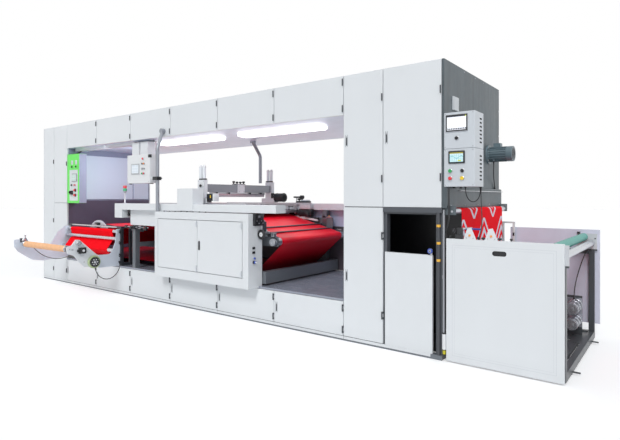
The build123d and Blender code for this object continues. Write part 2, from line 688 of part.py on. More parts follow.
def control_buttons():
    """Push buttons and selectors of the operator boxes."""
    parts = []
    for spots, face in ((END_BUTTONS, -BOX_FRONT), (HMI_BUTTONS, -HMI_FRONT)):
        for x, z in spots:
            parts.append(bar_y(face - 6, face, x, z, 15.0) + bar_y(face - 18, face - 6, x, z, 11.0))
    return Compound(children=parts)


def instrument_panel():
    """The bright panel of meters and switches beside the unwinder."""
    x0, x1 = OPENING_LEFT, OPENING_LEFT + 372
    body = block(x0, x1, -HALF_DEPTH + 8, -HALF_DEPTH + 130, WAIST, OPENING_TOP - PANEL_TOP_GAP)
    body = fillet(body.edges().filter_by(Axis.Y), 5.0)
    return body + block(x0 + 74, x1 - 40, -HALF_DEPTH + 5, -HALF_DEPTH + 8, WAIST + 39, WAIST + 534)


def inner_wall_panels():
    """White covers on the inner wall of the infeed column."""
    x = OPENING_LEFT
    z0, z1 = WAIST + 58, OPENING_TOP - WALL_COVER_TOP_GAP
    covers = [block(x, x + 14, y0, y1, z0, z1) for y0, y1 in ((-535, 410), (430, 735))]
    return Compound(children=[fillet(cover.faces().sort_by(Axis.X)[-1].edges(), 3.0) for cover in covers])


def ceiling_lights():
    """Two long light fittings under the dryer."""
    lights = [block(x0, x0 + LIGHT_LENGTH, -430, -250, OPENING_TOP - LIGHT_DROP, OPENING_TOP)
              for x0 in LIGHT_LEFTS]
    return Compound(children=[chamfer(light.faces().sort_by(Axis.Z)[0].edges(), 12.0) for light in lights])


def cable_tray():
    """The cable duct under the dryer and the two junction boxes at its end."""
    x0, x1 = OPENING_LEFT + 60, -1090.0
    parts = [block(x0, x1, -680, -560, OPENING_TOP - 44, OPENING_TOP)]
    parts.append(block(x1 - 1, -660, -630, -600, OPENING_TOP - 30, OPENING_TOP))
    for x in (-1050, -850):
        parts.append(block(x, x + 170, -740, -620, OPENING_TOP - JUNCTION_LOW_GAP, OPENING_TOP - JUNCTION_TOP_GAP))
        parts.append(block(x + 70, x + 100, -650, -620, OPENING_TOP - JUNCTION_TOP_GAP - 2, OPENING_TOP))
    return joined(parts)


def conduit_tubes():
    """The bent conduit tubes between the dryer and the print station, with the box's clamp."""
    x, y = PENDANT_X, PENDANT_Y
    near = pipe([(x, y, CABINET_TOP), (x, y, OPENING_TOP - 160), (x - 58, -HALF_DEPTH - 24, OPENING_TOP + 60)],
                [TUBE_BEND], TUBE_R)
    near += bar_y(-HALF_DEPTH - 50, -HALF_DEPTH, x - 58, OPENING_TOP + 70, 34.0)
    near += block(x - 60, x + CLAMP_HALF, y - CLAMP_HALF, y + CLAMP_HALF, 1620, 1664)
    near += bar_x(x + CLAMP_HALF, x + CLAMP_HALF + 52, y, 1642, 8.0)
    x, y = REAR_TUBE_X, REAR_TUBE_Y
    rear = pipe([(x, y, REAR_TUBE_BOTTOM), (x, y, OPENING_TOP - 210), (x - 20, y - 130, OPENING_TOP - 16)],
                [TUBE_BEND], TUBE_R)
    rear += bar_z(OPENING_TOP - 30, OPENING_TOP, x - 20, y - 130, 40.0)
    return Compound(children=[near, rear])


def hmi_box():
    """The operator box that hangs on the near conduit tube."""
    box = block(HMI_LEFT, HMI_RIGHT, -HMI_FRONT, -HMI_FRONT + HMI_DEPTH, HMI_BOTTOM, HMI_TOP)
    box = fillet(box.faces().sort_by(Axis.Y)[0].edges(), 8.0)
    return box + block(HMI_RIGHT - 1, PENDANT_X - 60, PENDANT_Y - 20, PENDANT_Y + 20, 1626, 1658)


def signal_light():
    """The two-lamp signal light on the print station's left end."""
    x, y = SIGNAL_X, SIGNAL_Y
    light = bar_z(BEAM_TOP, BEAM_TOP + 148, x, y, 9.0) + bar_z(BEAM_TOP, BEAM_TOP + 6, x, y, 24.0)
    light += Pos(x, y, BEAM_TOP + 158) * Cone(10, 27, 28)
    return light + bar_z(BEAM_TOP + 172, BEAM_TOP + 212, x, y, 27) + bar_z(BEAM_TOP + 212, BEAM_TOP + 252, x, y, 25)


def print_beams():
    """Cover beams along both sides of the print station and the tall box on the near one."""
    near = block(BEAM_LEFT, BEAM_RIGHT, -BEAM_FRONT, -BEAM_BACK, BEAM_BOTTOM, BEAM_TOP)
    near += block(BEAM_LEFT, BEAM_LEFT + DROP_WIDTH, -BEAM_FRONT, -BEAM_BACK, DROP_BOTTOM, BEAM_BOTTOM)
    near = fillet(near.edges().filter_by(Axis.X).group_by(Axis.Z)[-1], 6.0)
    near += block(TALL_LEFT, TALL_RIGHT, -BEAM_FRONT - 14, -BEAM_BACK, BEAM_BOTTOM + 6, TALL_TOP)
    near += block(-990, CABINET_LEFT - 6, -806, -800, 1010, BEAM_BOTTOM)
    far = block(BEAM_LEFT, BEAM_RIGHT, FAR_BEAM_IN, FAR_BEAM_OUT, BEAM_BOTTOM, BEAM_TOP)
    return Compound(children=[near, far])


def print_cabinet():
    """The cabinet beside the print table, open in front where its two doors close it."""
    shell = block(CABINET_LEFT, CABINET_RIGHT, -CABINET_FRONT, -CABINET_BACK, CABINET_BOTTOM, CABINET_TOP)
    shell = fillet(shell.edges().filter_by(Axis.Z).group_by(Axis.Y)[0], 6.0)
    door_back = -CABINET_FRONT + CABINET_DOOR_THICK + CABINET_DOOR_SEAT
    z0, z1 = CABINET_DOOR_BOTTOM - PANEL_GAP, CABINET_DOOR_TOP + PANEL_GAP
    sheet = CABINET_SHEET
    shell -= block(CABINET_LEFT + sheet, CABINET_RIGHT - sheet, door_back, -CABINET_BACK - sheet,
                   OPENING_BOTTOM + sheet, CABINET_TOP - sheet)
    shell -= block(CABINET_DOOR_LEFT - PANEL_GAP, CABINET_DOOR_RIGHT + PANEL_GAP, -CABINET_FRONT - 1,
                   door_back + 1, z0, z1)
    shell -= block(CABINET_LEFT - 1, CABINET_RIGHT + 1, -HALF_DEPTH, -CABINET_BACK + 1,
                   CABINET_BOTTOM - 1, OPENING_BOTTOM)
    for seam in (CABINET_DOOR_SPLIT, CABINET_DOOR_RIGHT):
        shell += block(seam - 30, seam + 30, door_back, door_back + sheet, z0 - 20, z1 + 20)
        for hinge in fixed_barrels(seam, -CABINET_FRONT, door_back, CABINET_DOOR_BOTTOM,
                                   CABINET_DOOR_TOP, CABINET_HINGE_INSET):
            shell += hinge
    return shell


def cabinet_left_door():
    """The left door of the print cabinet."""
    return hinged_door(CABINET_DOOR_LEFT, CABINET_DOOR_SPLIT, -CABINET_FRONT, CABINET_DOOR_BOTTOM,
                       CABINET_DOOR_TOP, CABINET_DOOR_THICK, CABINET_HINGE_INSET)


def cabinet_right_door():
    """The right door of the print cabinet, with its black pull."""
    left = CABINET_DOOR_SPLIT + PANEL_GAP / 2
    leaf = hinged_door(left, CABINET_DOOR_RIGHT, -CABINET_FRONT, CABINET_DOOR_BOTTOM,
                       CABINET_DOOR_TOP, CABINET_DOOR_THICK, CABINET_HINGE_INSET)
    pull = block(left + 24, left + 50, -CABINET_FRONT - 7, -CABINET_FRONT, PULL_Z - PULL_LENGTH / 2,
                 PULL_Z + PULL_LENGTH / 2)
    return leaf + fillet(pull.edges().filter_by(Axis.Y), 8.0)


def print_table():
    """The flat bed under the web, with a rounded nose at each end."""
    bed = block(TABLE_LEFT, TABLE_RIGHT, -TABLE_HALF_WIDTH, TABLE_HALF_WIDTH, TABLE_TOP - TABLE_THICK, TABLE_TOP)
    return fillet(bed.edges().filter_by(Axis.Y), NOSE_R - 1)


def table_legs():
    """The print station's legs with the rails and bearers under the bed."""
    half = LEG / 2
    bearer_top = TABLE_TOP - TABLE_THICK
    parts = []
    for x, y in ((LEG_LEFT, -NEAR_LEG_Y), (LEG_RIGHT, -LEG_Y), (LEG_LEFT, LEG_Y), (LEG_RIGHT, LEG_Y)):
        parts.append(block(x - half, x + half, y - half, y + half, OPENING_BOTTOM, BEAM_BOTTOM))
    for z in (950.0, 1080.0):
        parts.append(block(LEG_LEFT - half, LEG_LEFT + half, -NEAR_LEG_Y, -LEG_Y + half, z - 40, z + 40))
    for side in (-1, 1):
        parts.append(block(LEG_LEFT, LEG_RIGHT, side * (LEG_Y - 20), side * (LEG_Y + 20), 1040, bearer_top - 5))
    parts.append(block(LEG_RIGHT - half, LEG_RIGHT + half, -LEG_Y, -BEAM_BACK - 20, BEAM_BOTTOM - 8, BEAM_BOTTOM))
    for x in (TABLE_LEFT + 120, TABLE_RIGHT - 120):
        parts.append(block(x - 30, x + 30, -LEG_Y, LEG_Y, bearer_top - 60, bearer_top))
    parts.append(block(LEG_LEFT - half, LEG_LEFT + half, -NEAR_LEG_Y, LEG_Y, 700, 760))
    return parts


def roller_arms():
    """The beam, arms and cheeks past the bed's ends, which carry the web's rollers."""
    half = LEG / 2
    y0, y1 = ROLL_HALF_WIDTH + CHEEK_GAP, ROLL_HALF_WIDTH + CHEEK_GAP + CHEEK
    parts = [block(CROSS_BEAM_X - half, CROSS_BEAM_X + half, -LEG_Y - half, LEG_Y + half,
                   CROSS_BEAM_BOTTOM, CROSS_BEAM_TOP)]
    for side in (-1, 1):
        parts.append(block(LEG_RIGHT, CROSS_BEAM_X, side * (LEG_Y - half), side * (LEG_Y + half),
                           CROSS_BEAM_BOTTOM, CROSS_BEAM_TOP))
        cheek = block(LEG_RIGHT - 70, OUTFEED_X + 40, side * y0, side * y1, OUTFEED_Z - 50, OUTFEED_Z + 60)
        cheek += block(LEG_RIGHT - 70, LEG_RIGHT + 130, side * y0, side * y1, OUTFEED_Z, 1120)
        parts.append(cheek - bar_y(side * y0 - 20, side * y0 + 20, OUTFEED_X, OUTFEED_Z, JOURNAL_R + SHAFT_FIT))
        parts.append(block(RETURN_X - 25, LEG_RIGHT, side * y0, side * y1, RETURN_Z - 30, RETURN_Z + 30))
        parts.append(block(LIFT_X - 25, LEG_LEFT, side * y0, side * y1, LIFT_Z - 30, LIFT_Z + 30))
    for x, z, radius in ((RETURN_X, RETURN_Z, RETURN_R), (LIFT_X, LIFT_Z, LIFT_R)):
        parts.append(bar_y(-ROLL_HALF_WIDTH, ROLL_HALF_WIDTH, x, z, radius) + bar_y(-y0, y0, x, z, JOURNAL_R))
    return parts


def tension_bars():
    """The two bars that rest on the web between the bed and the outfeed roller."""
    run = tangent_points(*TABLE_CIRCLES[4:6])
    (xa, za), (xb, zb) = run
    length = math.hypot(xb - xa, zb - za)
    lift = WEB / 2 + ROLLER_AIR + TENSION_BAR_R
    reach = ROLL_HALF_WIDTH + CHEEK_GAP + 1
    bars = []
    for x in TENSION_BARS_X:
        z = za + (zb - za) * (x - xa) / (xb - xa) + lift * length / (xb - xa)
        bars.append(bar_y(-reach, reach, x, z, TENSION_BAR_R))
    return bars


def table_frame():
    """The steelwork of the print station under its bed and past both of its ends."""
    return joined(table_legs() + roller_arms() + tension_bars())


def screen_frame():
    """The printing screen over the bed and the two guide rails that it hangs from."""
    outer = block(SCREEN_LEFT, SCREEN_RIGHT, -SCREEN_HALF, SCREEN_HALF, SCREEN_BOTTOM,
                  SCREEN_BOTTOM + SCREEN_HEIGHT)
    inner = block(SCREEN_LEFT + SCREEN_BAR, SCREEN_RIGHT - SCREEN_BAR, -SCREEN_HALF + SCREEN_BAR,
                  SCREEN_HALF - SCREEN_BAR, SCREEN_BOTTOM + SCREEN_MESH, SCREEN_BOTTOM + SCREEN_HEIGHT + 1)
    z0, z1 = SCREEN_BOTTOM + SCREEN_HEIGHT - 12, SCREEN_BOTTOM + SCREEN_HEIGHT
    parts = [outer - inner]
    for side, beam_face in ((-1, BEAM_BACK), (1, FAR_BEAM_IN)):
        near, far = side * (RAIL_Y - RAIL_HALF), side * (RAIL_Y + RAIL_HALF)
        parts.append(block(RAIL_LEFT, RAIL_RIGHT, near, far, RAIL_BOTTOM, RAIL_TOP))
        for x in (RAIL_LEFT + 90, 140, RAIL_RIGHT - 90):
            parts.append(block(x - 25, x + 25, near, side * beam_face, RAIL_BOTTOM - 14, RAIL_BOTTOM))
        for x in (SCREEN_LEFT + 60, SCREEN_RIGHT - 60):
            parts.append(block(x - 20, x + 20, side * (SCREEN_HALF - 10), far, z0, z1))
            parts.append(block(x - 20, x + 20, near, far, z0, RAIL_BOTTOM))
    return joined(parts)


def squeegee_carriage():
    """The travelling carriage: feet over the rails, the blade bar, air cylinders and drive."""
    x = CARRIAGE_X
    half = CARRIAGE_LENGTH / 2
    foot_top = CARRIAGE_BOTTOM + FOOT_HEIGHT
    drive_z = CARRIAGE_BOTTOM + 72
    wide = CARRIAGE_WIDTH / 2
    parts = [block(x - BLADE_BAR_THICK / 2, x + BLADE_BAR_THICK / 2, -RAIL_Y, RAIL_Y,
                   BLADE_BAR_BOTTOM, BLADE_BAR_TOP)]
    for side in (-1, 1):
        y = side * RAIL_Y
        foot = block(x - half, x + half, y - wide, y + wide, CARRIAGE_BOTTOM, foot_top)
        parts.append(fillet(foot.edges().filter_by(Axis.Z), 8.0))
        parts.append(block(x - 62, x + 62, y - 28, y + 28, foot_top, CYLINDER_BOTTOM))
        for sign in (-1, 1):
            cylinder_x = x + sign * CYLINDER_PITCH / 2
            parts.append(bar_z(CYLINDER_BOTTOM, CYLINDER_TOP, cylinder_x, y, CYLINDER_R))
            parts.append(bar_z(CYLINDER_TOP, CYLINDER_TOP + 16, cylinder_x, y, 8.0))
    parts.append(block(x - 55, x + 55, -62, 62, BLADE_BAR_BOTTOM - 6, BLADE_BAR_TOP + 6))
    parts.append(block(x + half - 1, x + half + 130, -RAIL_Y - 40, -RAIL_Y + 40, foot_top - 30, foot_top + 60))
    parts.append(bar_x(x + half - 1, x + half + 160, RAIL_Y, drive_z, 62.0))
    parts.append(block(x + 60, x + half, RAIL_Y - 40, RAIL_Y + 40, foot_top - 2, drive_z + 58))
    return joined(parts)


def roller_y(x, z, radius, half, journal):
    """A roller along Y with its two journals."""
    return bar_y(-half, half, x, z, radius) + bar_y(-half - JOURNAL_REACH, half + JOURNAL_REACH, x, z, journal)


def outfeed_roller():
    """The roller that turns the web down past the table's end."""
    return roller_y(OUTFEED_X, OUTFEED_Z, OUTFEED_R, ROLL_HALF_WIDTH, JOURNAL_R)


def unwind_plates():
    """The two side plates of the unwinder, cut out round the web."""
    left = plate_yz(UNWIND_LEFT - UNWIND_PLATE, UNWIND_PLATE,
                    [(-1628, 765), (-1623, 657), (-1570, 580), (-1370, 440), (-1212, 414), (-875, 440),
                     (-770, 446), (-770, 940), (-870, 940), (-985, 850), (-1110, 640), (-1400, 640),
                     (-1440, 770)],
                    [(0, 20), (1, 30), (2, 50), (3, 120), (4, 120), (9, 60), (10, 100), (11, 40), (12, 30)])
    right = plate_yz(UNWIND_RIGHT, UNWIND_PLATE,
                     [(-1121, 412), (-1121, 590), (-930, 590), (-858, 760), (-842, 940), (-770, 940), (-770, 412)],
                     [(1, 12), (2, 60), (3, 100), (4, 12)])
    left -= bar_x(UNWIND_LEFT - 20, UNWIND_LEFT + 1, CORE_Y, CORE_Z, SHAFT_R + SHAFT_FIT)
    return Compound(children=[left, right])


def unwind_frame():
    """The black frame that carries the unwinder, and the infeed roller with its large end disc."""
    left = UNWIND_LEFT - UNWIND_PLATE - UNWIND_POST
    right = UNWIND_RIGHT + UNWIND_PLATE
    deep = -WEB_WIDTH / 2 - SLOT_CLEAR
    parts = [block(left, right + UNWIND_POST, -790, -762, 948, 975)]
    for x in (left, right):
        parts.append(block(x, x + UNWIND_POST, -792, -752, OPENING_BOTTOM, 975))
    parts.append(block(right, right + UNWIND_POST, -752, deep, 945, 975))
    parts.append(block(right, right + UNWIND_POST, -752, deep, OPENING_BOTTOM, OPENING_BOTTOM + 40))
    parts.append(block(right, right + UNWIND_POST, deep - 40, deep, OPENING_BOTTOM + 40, 945))
    parts.append(block(right + 3, right + UNWIND_POST - 3, -816, -792, 452, 480))
    parts.append(bar_y(-712, -704, INFEED_X, DISC_Z, DISC_R))
    parts.append(bar_y(-770, -704, INFEED_X, INFEED_Z + 6, 16.0))
    parts.append(bar_y(-704, ROLL_HALF_WIDTH, INFEED_X, INFEED_Z, INFEED_R))
    return joined(parts)


def paper_core():
    """The empty paper core on its chucks and shaft."""
    core = bar_x(CORE_LEFT, CORE_RIGHT, CORE_Y, CORE_Z, CORE_R)
    core += bar_x(CORE_LEFT - CHUCK_LENGTH, CORE_LEFT, CORE_Y, CORE_Z, CHUCK_R)
    core += bar_x(CORE_RIGHT, CORE_RIGHT + CHUCK_LENGTH, CORE_Y, CORE_Z, CHUCK_R)
    return core + bar_x(UNWIND_LEFT - UNWIND_PLATE, ARM_FACE + 10, CORE_Y, CORE_Z, SHAFT_R)


def brake_arm():
    """The arm that carries the core's near end, with its brake, drive block and cable sockets."""
    arm = plate_yz(ARM_FACE, ARM_THICK,
                   [(-1582, 740), (-1510, 752), (-1452, 826), (-1405, 826), (-1143, 590), (-1106, 495),
                    (-1207, 442), (-1345, 450), (-1470, 610), (-1562, 650)],
                   [(0, 30), (2, 14), (3, 24), (4, 40), (5, 40), (6, 40), (7, 40), (8, 60), (9, 20)])
    arm -= bar_x(ARM_FACE - 1, ARM_FACE + ARM_THICK + 1, CORE_Y, CORE_Z, SHAFT_R + SHAFT_FIT)
    brake_x = ARM_FACE + ARM_THICK
    disc = bar_x(brake_x, brake_x + BRAKE_DEPTH, BRAKE_Y, BRAKE_Z, BRAKE_R)
    for i in range(BRAKE_HOLES):
        angle = 2 * math.pi * i / BRAKE_HOLES
        disc -= bar_x(brake_x + BRAKE_DEPTH - 14, brake_x + BRAKE_DEPTH + 1, BRAKE_Y + 36 * math.cos(angle),
                      BRAKE_Z + 36 * math.sin(angle), 10.0)
    x, y, z = BRAKE_CABLE[0]
    disc += bar_z(z + CORD_AIR, z + 20, x, y, GLAND_R)
    block_out = block(brake_x, brake_x + 40, -1420, -1330, 640, 720)
    x, y, z = UNWIND_CABLE[-1]
    socket = block(x + CORD_AIR, ARM_FACE, y - 18, y + 18, z - 15, z + 15)
    return joined([arm, disc, block_out, socket])


def unwind_rollers():
    """The guide rollers of the unwinder, between its side plates."""
    return Compound(children=[bar_x(UNWIND_LEFT, UNWIND_RIGHT, y, z, GUIDE_R) for y, z in GUIDES])


def rewinder_panels():
    """The side panels of the rewinder, with the near one's hand slot and web guides."""
    near = block(WIND_LEFT, WIND_RIGHT, -WIND_HALF, -WIND_HALF + WIND_PANEL, WIND_BOTTOM, WIND_TOP)
    near = fillet(near.faces().sort_by(Axis.Y)[0].edges(), EDGE_ROUND)
    slot = block(4008, 4118, -WIND_HALF - 1, -WIND_HALF + 12, 926, 966)
    near -= fillet(slot.edges().filter_by(Axis.Y), 19.0)
    for x in (3825.0, 3999.0):
        outline = make_face(Polyline((x - 52, WIND_TOP), (x - 20, WIND_TOP + 92), (x + 10, WIND_TOP + 98),
                                     (x + 52, WIND_TOP), close=True))
        ear = Plane((0, -WIND_HALF + 12, 0), x_dir=(1, 0, 0), z_dir=(0, -1, 0)) * extrude(outline, 8)
        near += ear + bar_y(-WIND_HALF - 4, -WIND_HALF + 4, x, WIND_TOP + 34, 9.0)
    far = block(WIND_FAR_LEFT, WIND_FAR_RIGHT, WIND_HALF - WIND_PANEL, WIND_HALF, 150, WIND_FAR_TOP)
    far = fillet(far.faces().sort_by(Axis.Y)[-1].edges(), EDGE_ROUND)
    return Compound(children=[near, far])


def rewinder_base():
    """Floor channels, posts, bearing plates, the low drive and the feet of the rewinder."""
    inner = WIND_HALF - WIND_PANEL
    left, right = WIND_LEFT + 40, WIND_RIGHT - 20
    half = WIND_POST / 2
    z0, z1 = WIND_FOOT - 2, WIND_FOOT - 2 + WIND_CHANNEL
    parts = [block(x - half, x + half, -inner, inner, z0, z1) for x in (left, right)]
    for side in (-1, 1):
        y = side * (inner - half)
        parts.append(block(left, right, y - half, y + half, z0, z1))
        parts.append(block(left, right + half, y - half, y + half, 840, 880))
        parts += [block(x - half, x + half, y - half, y + half, z0, 880) for x in (left, right)]
        y0, y1 = side * inner, side * (inner - WIND_BEARING)
        bearing = block(DRIVE_X - 60, NIP_X + 50, y0, y1, 870, DRIVE_Z + 34)
        bearing -= bar_y(-WIND_HALF, WIND_HALF, DRIVE_X, DRIVE_Z, JOURNAL_R + SHAFT_FIT)
        parts.append(bearing - bar_y(-WIND_HALF, WIND_HALF, NIP_X, NIP_Z, NIP_JOURNAL_R + SHAFT_FIT))
    for y in (-483.0, 544.0):
        parts.append(bar_x(right, WIND_RIGHT + 62, y, 22, 7.0))
        parts += [bar_z(0, WIND_FOOT, x, y, 24.0) for x in (left, right)]
    tray = block(left, right, 240, inner - WIND_POST, 60, 68)
    for y in (330.0, 520.0):
        tray -= block(4250, 4390, y - 18, y + 18, 50, 70)
    parts += [tray, block(4290, 4450, 560, 584, 66, 440)]
    parts += [bar_y(330, 560, 4395, 352, 58.0), bar_y(330, 560, 4395, 205, 52.0)]
    x, y, z = REWINDER_CABLE[-1]
    return joined(parts + [bar_z(z - 20, z - CORD_AIR, x, y, GLAND_R)])


def drive_roller():
    """The green rubber roller at the rewinder's end."""
    half = WIND_HALF - WIND_PANEL - WIND_BEARING - 12
    return bar_y(-half, half, DRIVE_X, DRIVE_Z, DRIVE_R) + bar_y(-half - 20, half + 20, DRIVE_X, DRIVE_Z, JOURNAL_R)


def nip_roller():
    """The chromed roller below the green one."""
    half = WIND_HALF - WIND_PANEL - WIND_BEARING - 12
    return bar_y(-half, half, NIP_X, NIP_Z, NIP_R) + bar_y(-half - 20, half + 20, NIP_X, NIP_Z, NIP_JOURNAL_R)


# The line of the web over the print station, as circles of (x, z, radius, sense)
AIR = ROLLER_AIR + WEB / 2
TABLE_CIRCLES = [(INFEED_X - INFEED_R - AIR, WEB_DROP_Z, 0.0, -1),
                 (INFEED_X, INFEED_Z, INFEED_R + AIR, -1),
                 (LIFT_X, LIFT_Z, LIFT_R + AIR, 1),
                 (TABLE_LEFT + NOSE_R, TABLE_TOP - NOSE_R, NOSE_R + AIR, -1),
                 (TABLE_RIGHT - NOSE_R, TABLE_TOP - NOSE_R, NOSE_R + AIR, -1),
                 (OUTFEED_X, OUTFEED_Z, OUTFEED_R + AIR, -1),
                 (RETURN_X, RETURN_Z, RETURN_R + AIR, -1),
                 (OPENING_LEFT - SLOT_DEPTH / 2, RETURN_Z - RETURN_R - AIR, 0.0, 1)]


def web_table():
    """The web from the infeed over the bed, down past the outfeed and back under the bed."""
    return web_across_y(TABLE_CIRCLES)


def web_unwind():
    """The web over the unwinder's guide rollers."""
    circles = [(-728.0, 927.0, 0.0, 1)]
    circles += [(y, z, GUIDE_R + AIR, sense) for (y, z), sense in zip(GUIDES, (1, -1, 1, -1))]
    circles.append((-800.0, 425.0, 0.0, 1))
    return web_across_x(circles, (CORE_LEFT + CORE_RIGHT - WEB_WIDTH) / 2)


def web_end():
    """The printed web that hangs from the hood roller down into the rewinder."""
    reach = HOOD_ROLLER_R + AIR
    return web_across_y([(TOWER_RIGHT + 4, HOOD_ROLLER_Z + reach, 0.0, -1),
                         (HOOD_ROLLER_X, HOOD_ROLLER_Z, reach, -1),
                         (HOOD_ROLLER_X + 90, 860.0, 60.0, 1),
                         (HOOD_ROLLER_X + 180, 330.0, 0.0, 1)])


def corner_lines():
    """The banded hose, the air pipe with its filter and the clipped cable at the tower's corner."""
    hose = bar_z(RAIL_HEIGHT, FASCIA_BOTTOM, 3553, -CORE_FACE - 14.3, 14.0)
    pipe_y = -CORE_FACE - 12
    air_pipe = bar_z(230, 1290, TOWER_RIGHT + 14, pipe_y, 9.0)
    air_pipe += bar_z(96, 236, TOWER_RIGHT + 18, pipe_y, 18.0) + bar_z(60, 96, TOWER_RIGHT + 18, pipe_y, 14.0)
    air_pipe += block(TOWER_RIGHT, TOWER_RIGHT + 14, pipe_y, -CORE_FACE + 30, 700, 730)
    cable = pipe([(TOWER_RIGHT + 60, -779, BOX_BOTTOM), (TOWER_RIGHT + 60, -779, BOX_BOTTOM - 287),
                  (TOWER_RIGHT + 12, -746, 1085)], [60.0], 7.0)
    cable += block(TOWER_RIGHT, TOWER_RIGHT + 24, -764, -728, 1050, 1092)
    return Compound(children=[hose, air_pipe, cable])


NODES = {
    "base_frame": base_frame,
    "deck_plate": deck_plate,
    "left_cabinet": left_cabinet,
    "left_cabinet_panels": left_cabinet_panels,
    "dryer_body": dryer_body,
    "upper_front_panels": upper_front_panels,
    "back_panels": back_panels,
    "back_rail": back_rail,
    "roof_panels": roof_panels,
    "tower_frame": tower_frame,
    "tower_lining": tower_lining,
    "tower_door": tower_door,
    "drop_panel": drop_panel,
    "end_sheet": end_sheet,
    "hood_roller": hood_roller,
    "end_motor": end_motor,
    "control_boxes": control_boxes,
    "control_screens": control_screens,
    "control_buttons": control_buttons,
    "instrument_panel": instrument_panel,
    "inner_wall_panels": inner_wall_panels,
    "ceiling_lights": ceiling_lights,
    "cable_tray": cable_tray,
    "conduit_tubes": conduit_tubes,
    "hmi_box": hmi_box,
    "signal_light": signal_light,
    "print_beams": print_beams,
    "print_cabinet": print_cabinet,
    "cabinet_left_door": cabinet_left_door,
    "cabinet_right_door": cabinet_right_door,
    "print_table": print_table,
    "table_frame": table_frame,
    "screen_frame": screen_frame,
    "squeegee_carriage": squeegee_carriage,
    "outfeed_roller": outfeed_roller,
    "unwind_plates": unwind_plates,
    "unwind_frame": unwind_frame,
    "paper_core": paper_core,
    "brake_arm": brake_arm,
    "unwind_rollers": unwind_rollers,
    "rewinder_panels": rewinder_panels,
    "rewinder_base": rewinder_base,
    "drive_roller": drive_roller,
    "nip_roller": nip_roller,
    "web_table": web_table,
    "web_unwind": web_unwind,
    "web_end": web_end,
    "corner_lines": corner_lines,
}

CORDS = {
    "unwind_cable": (UNWIND_CABLE, CABLE_R),
    "brake_cable": (BRAKE_CABLE, CABLE_R),
    "box_cable": (BOX_CABLE, THIN_CABLE_R),
    "guide_cable": (GUIDE_CABLE, THIN_CABLE_R),
    "motor_cable": (MOTOR_CABLE, CABLE_R),
    "rewinder_cable": (REWINDER_CABLE, CABLE_R),
}


def build():
    """Every node of the machine by its name."""
    shapes = {name: make() for name, make in NODES.items()}
    for index in range(BAY_COUNT):
        shapes[f"base_door_{index + 1}"] = base_door(index)
    for name, (route, radius) in CORDS.items():
        shapes[name] = cord(name, route, radius)
    return shapes


os.makedirs("parts", exist_ok=True)
for node, shape in build().items():
    export_step(shape, f"parts/{node}.step")
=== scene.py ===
"""Looks of a roll-to-roll screen printing machine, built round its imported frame."""

import logging
import math
from abc import ABC, abstractmethod
from dataclasses import dataclass
from enum import Enum
from typing import Any, Sequence

import bmesh
import bpy
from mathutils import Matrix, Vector

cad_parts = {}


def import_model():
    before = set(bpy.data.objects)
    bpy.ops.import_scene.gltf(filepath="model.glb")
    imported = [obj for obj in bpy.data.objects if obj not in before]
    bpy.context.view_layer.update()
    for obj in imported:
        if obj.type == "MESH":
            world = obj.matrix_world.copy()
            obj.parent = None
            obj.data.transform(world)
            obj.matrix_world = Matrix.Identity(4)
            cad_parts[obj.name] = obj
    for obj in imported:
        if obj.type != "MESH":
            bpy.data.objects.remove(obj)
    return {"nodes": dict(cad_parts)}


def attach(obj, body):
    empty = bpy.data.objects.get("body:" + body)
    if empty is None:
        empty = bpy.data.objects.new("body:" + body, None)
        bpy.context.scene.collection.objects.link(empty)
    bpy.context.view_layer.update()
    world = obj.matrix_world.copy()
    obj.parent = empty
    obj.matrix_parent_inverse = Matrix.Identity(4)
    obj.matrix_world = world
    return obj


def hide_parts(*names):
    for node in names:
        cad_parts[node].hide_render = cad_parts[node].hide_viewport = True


Point = tuple[float, float, float]
Colour = tuple[float, float, float]
Pair = tuple[float, float]

LOG = logging.getLogger("machine")


def srgb(code: str) -> Colour:
    """Turn a six-digit colour code into the linear colour that the shaders take.

    Args:
        code: Red, green and blue as two hexadecimal digits each.

    Returns:
        The linear colour.
    """
    parts = [int(code[at:at + 2], 16) / 255 for at in (0, 2, 4)]
    lit = [part / 12.92 if part <= 0.04045 else ((part + 0.055) / 1.055) ** 2.4 for part in parts]
    return (lit[0], lit[1], lit[2])


class Axis(Enum):
    """The frame's three axes."""

    X = 0
    Y = 1
    Z = 2

    def others(self) -> tuple[int, int]:
        """The numbers of the two axes that follow this one."""
        return (self.value + 1) % 3, (self.value + 2) % 3


X, Y, Z = Axis


def around(centre: Point, axis: Axis, radius: float, count: int, start: float = 0.0) -> list[Point]:
    """Space points evenly on a circle.

    Args:
        centre: Middle of the circle.
        axis: Axis across the circle.
        radius: The circle's radius.
        count: Number of points.
        start: Angle of the first point, in radians.

    Returns:
        The points.
    """
    first, second = axis.others()
    spots = []
    for index in range(count):
        angle = start + 2 * math.pi * index / count
        spot = list(centre)
        spot[first] += radius * math.cos(angle)
        spot[second] += radius * math.sin(angle)
        spots.append((spot[0], spot[1], spot[2]))
    return spots


class Slot(Enum):
    """The record's material slots."""

    WHITE = "panel_white"
    GREY = "frame_grey"
    BLACK = "black_metal"
    STEEL = "bare_steel"
    ALUMINIUM = "aluminium_bar"
    MOTOR = "motor_grey"
    GLASS = "screen_glass"
    BUTTON = "button_plastic"
    GREEN = "panel_green"
    CARD = "core_card"
    RUBBER = "black_rubber"


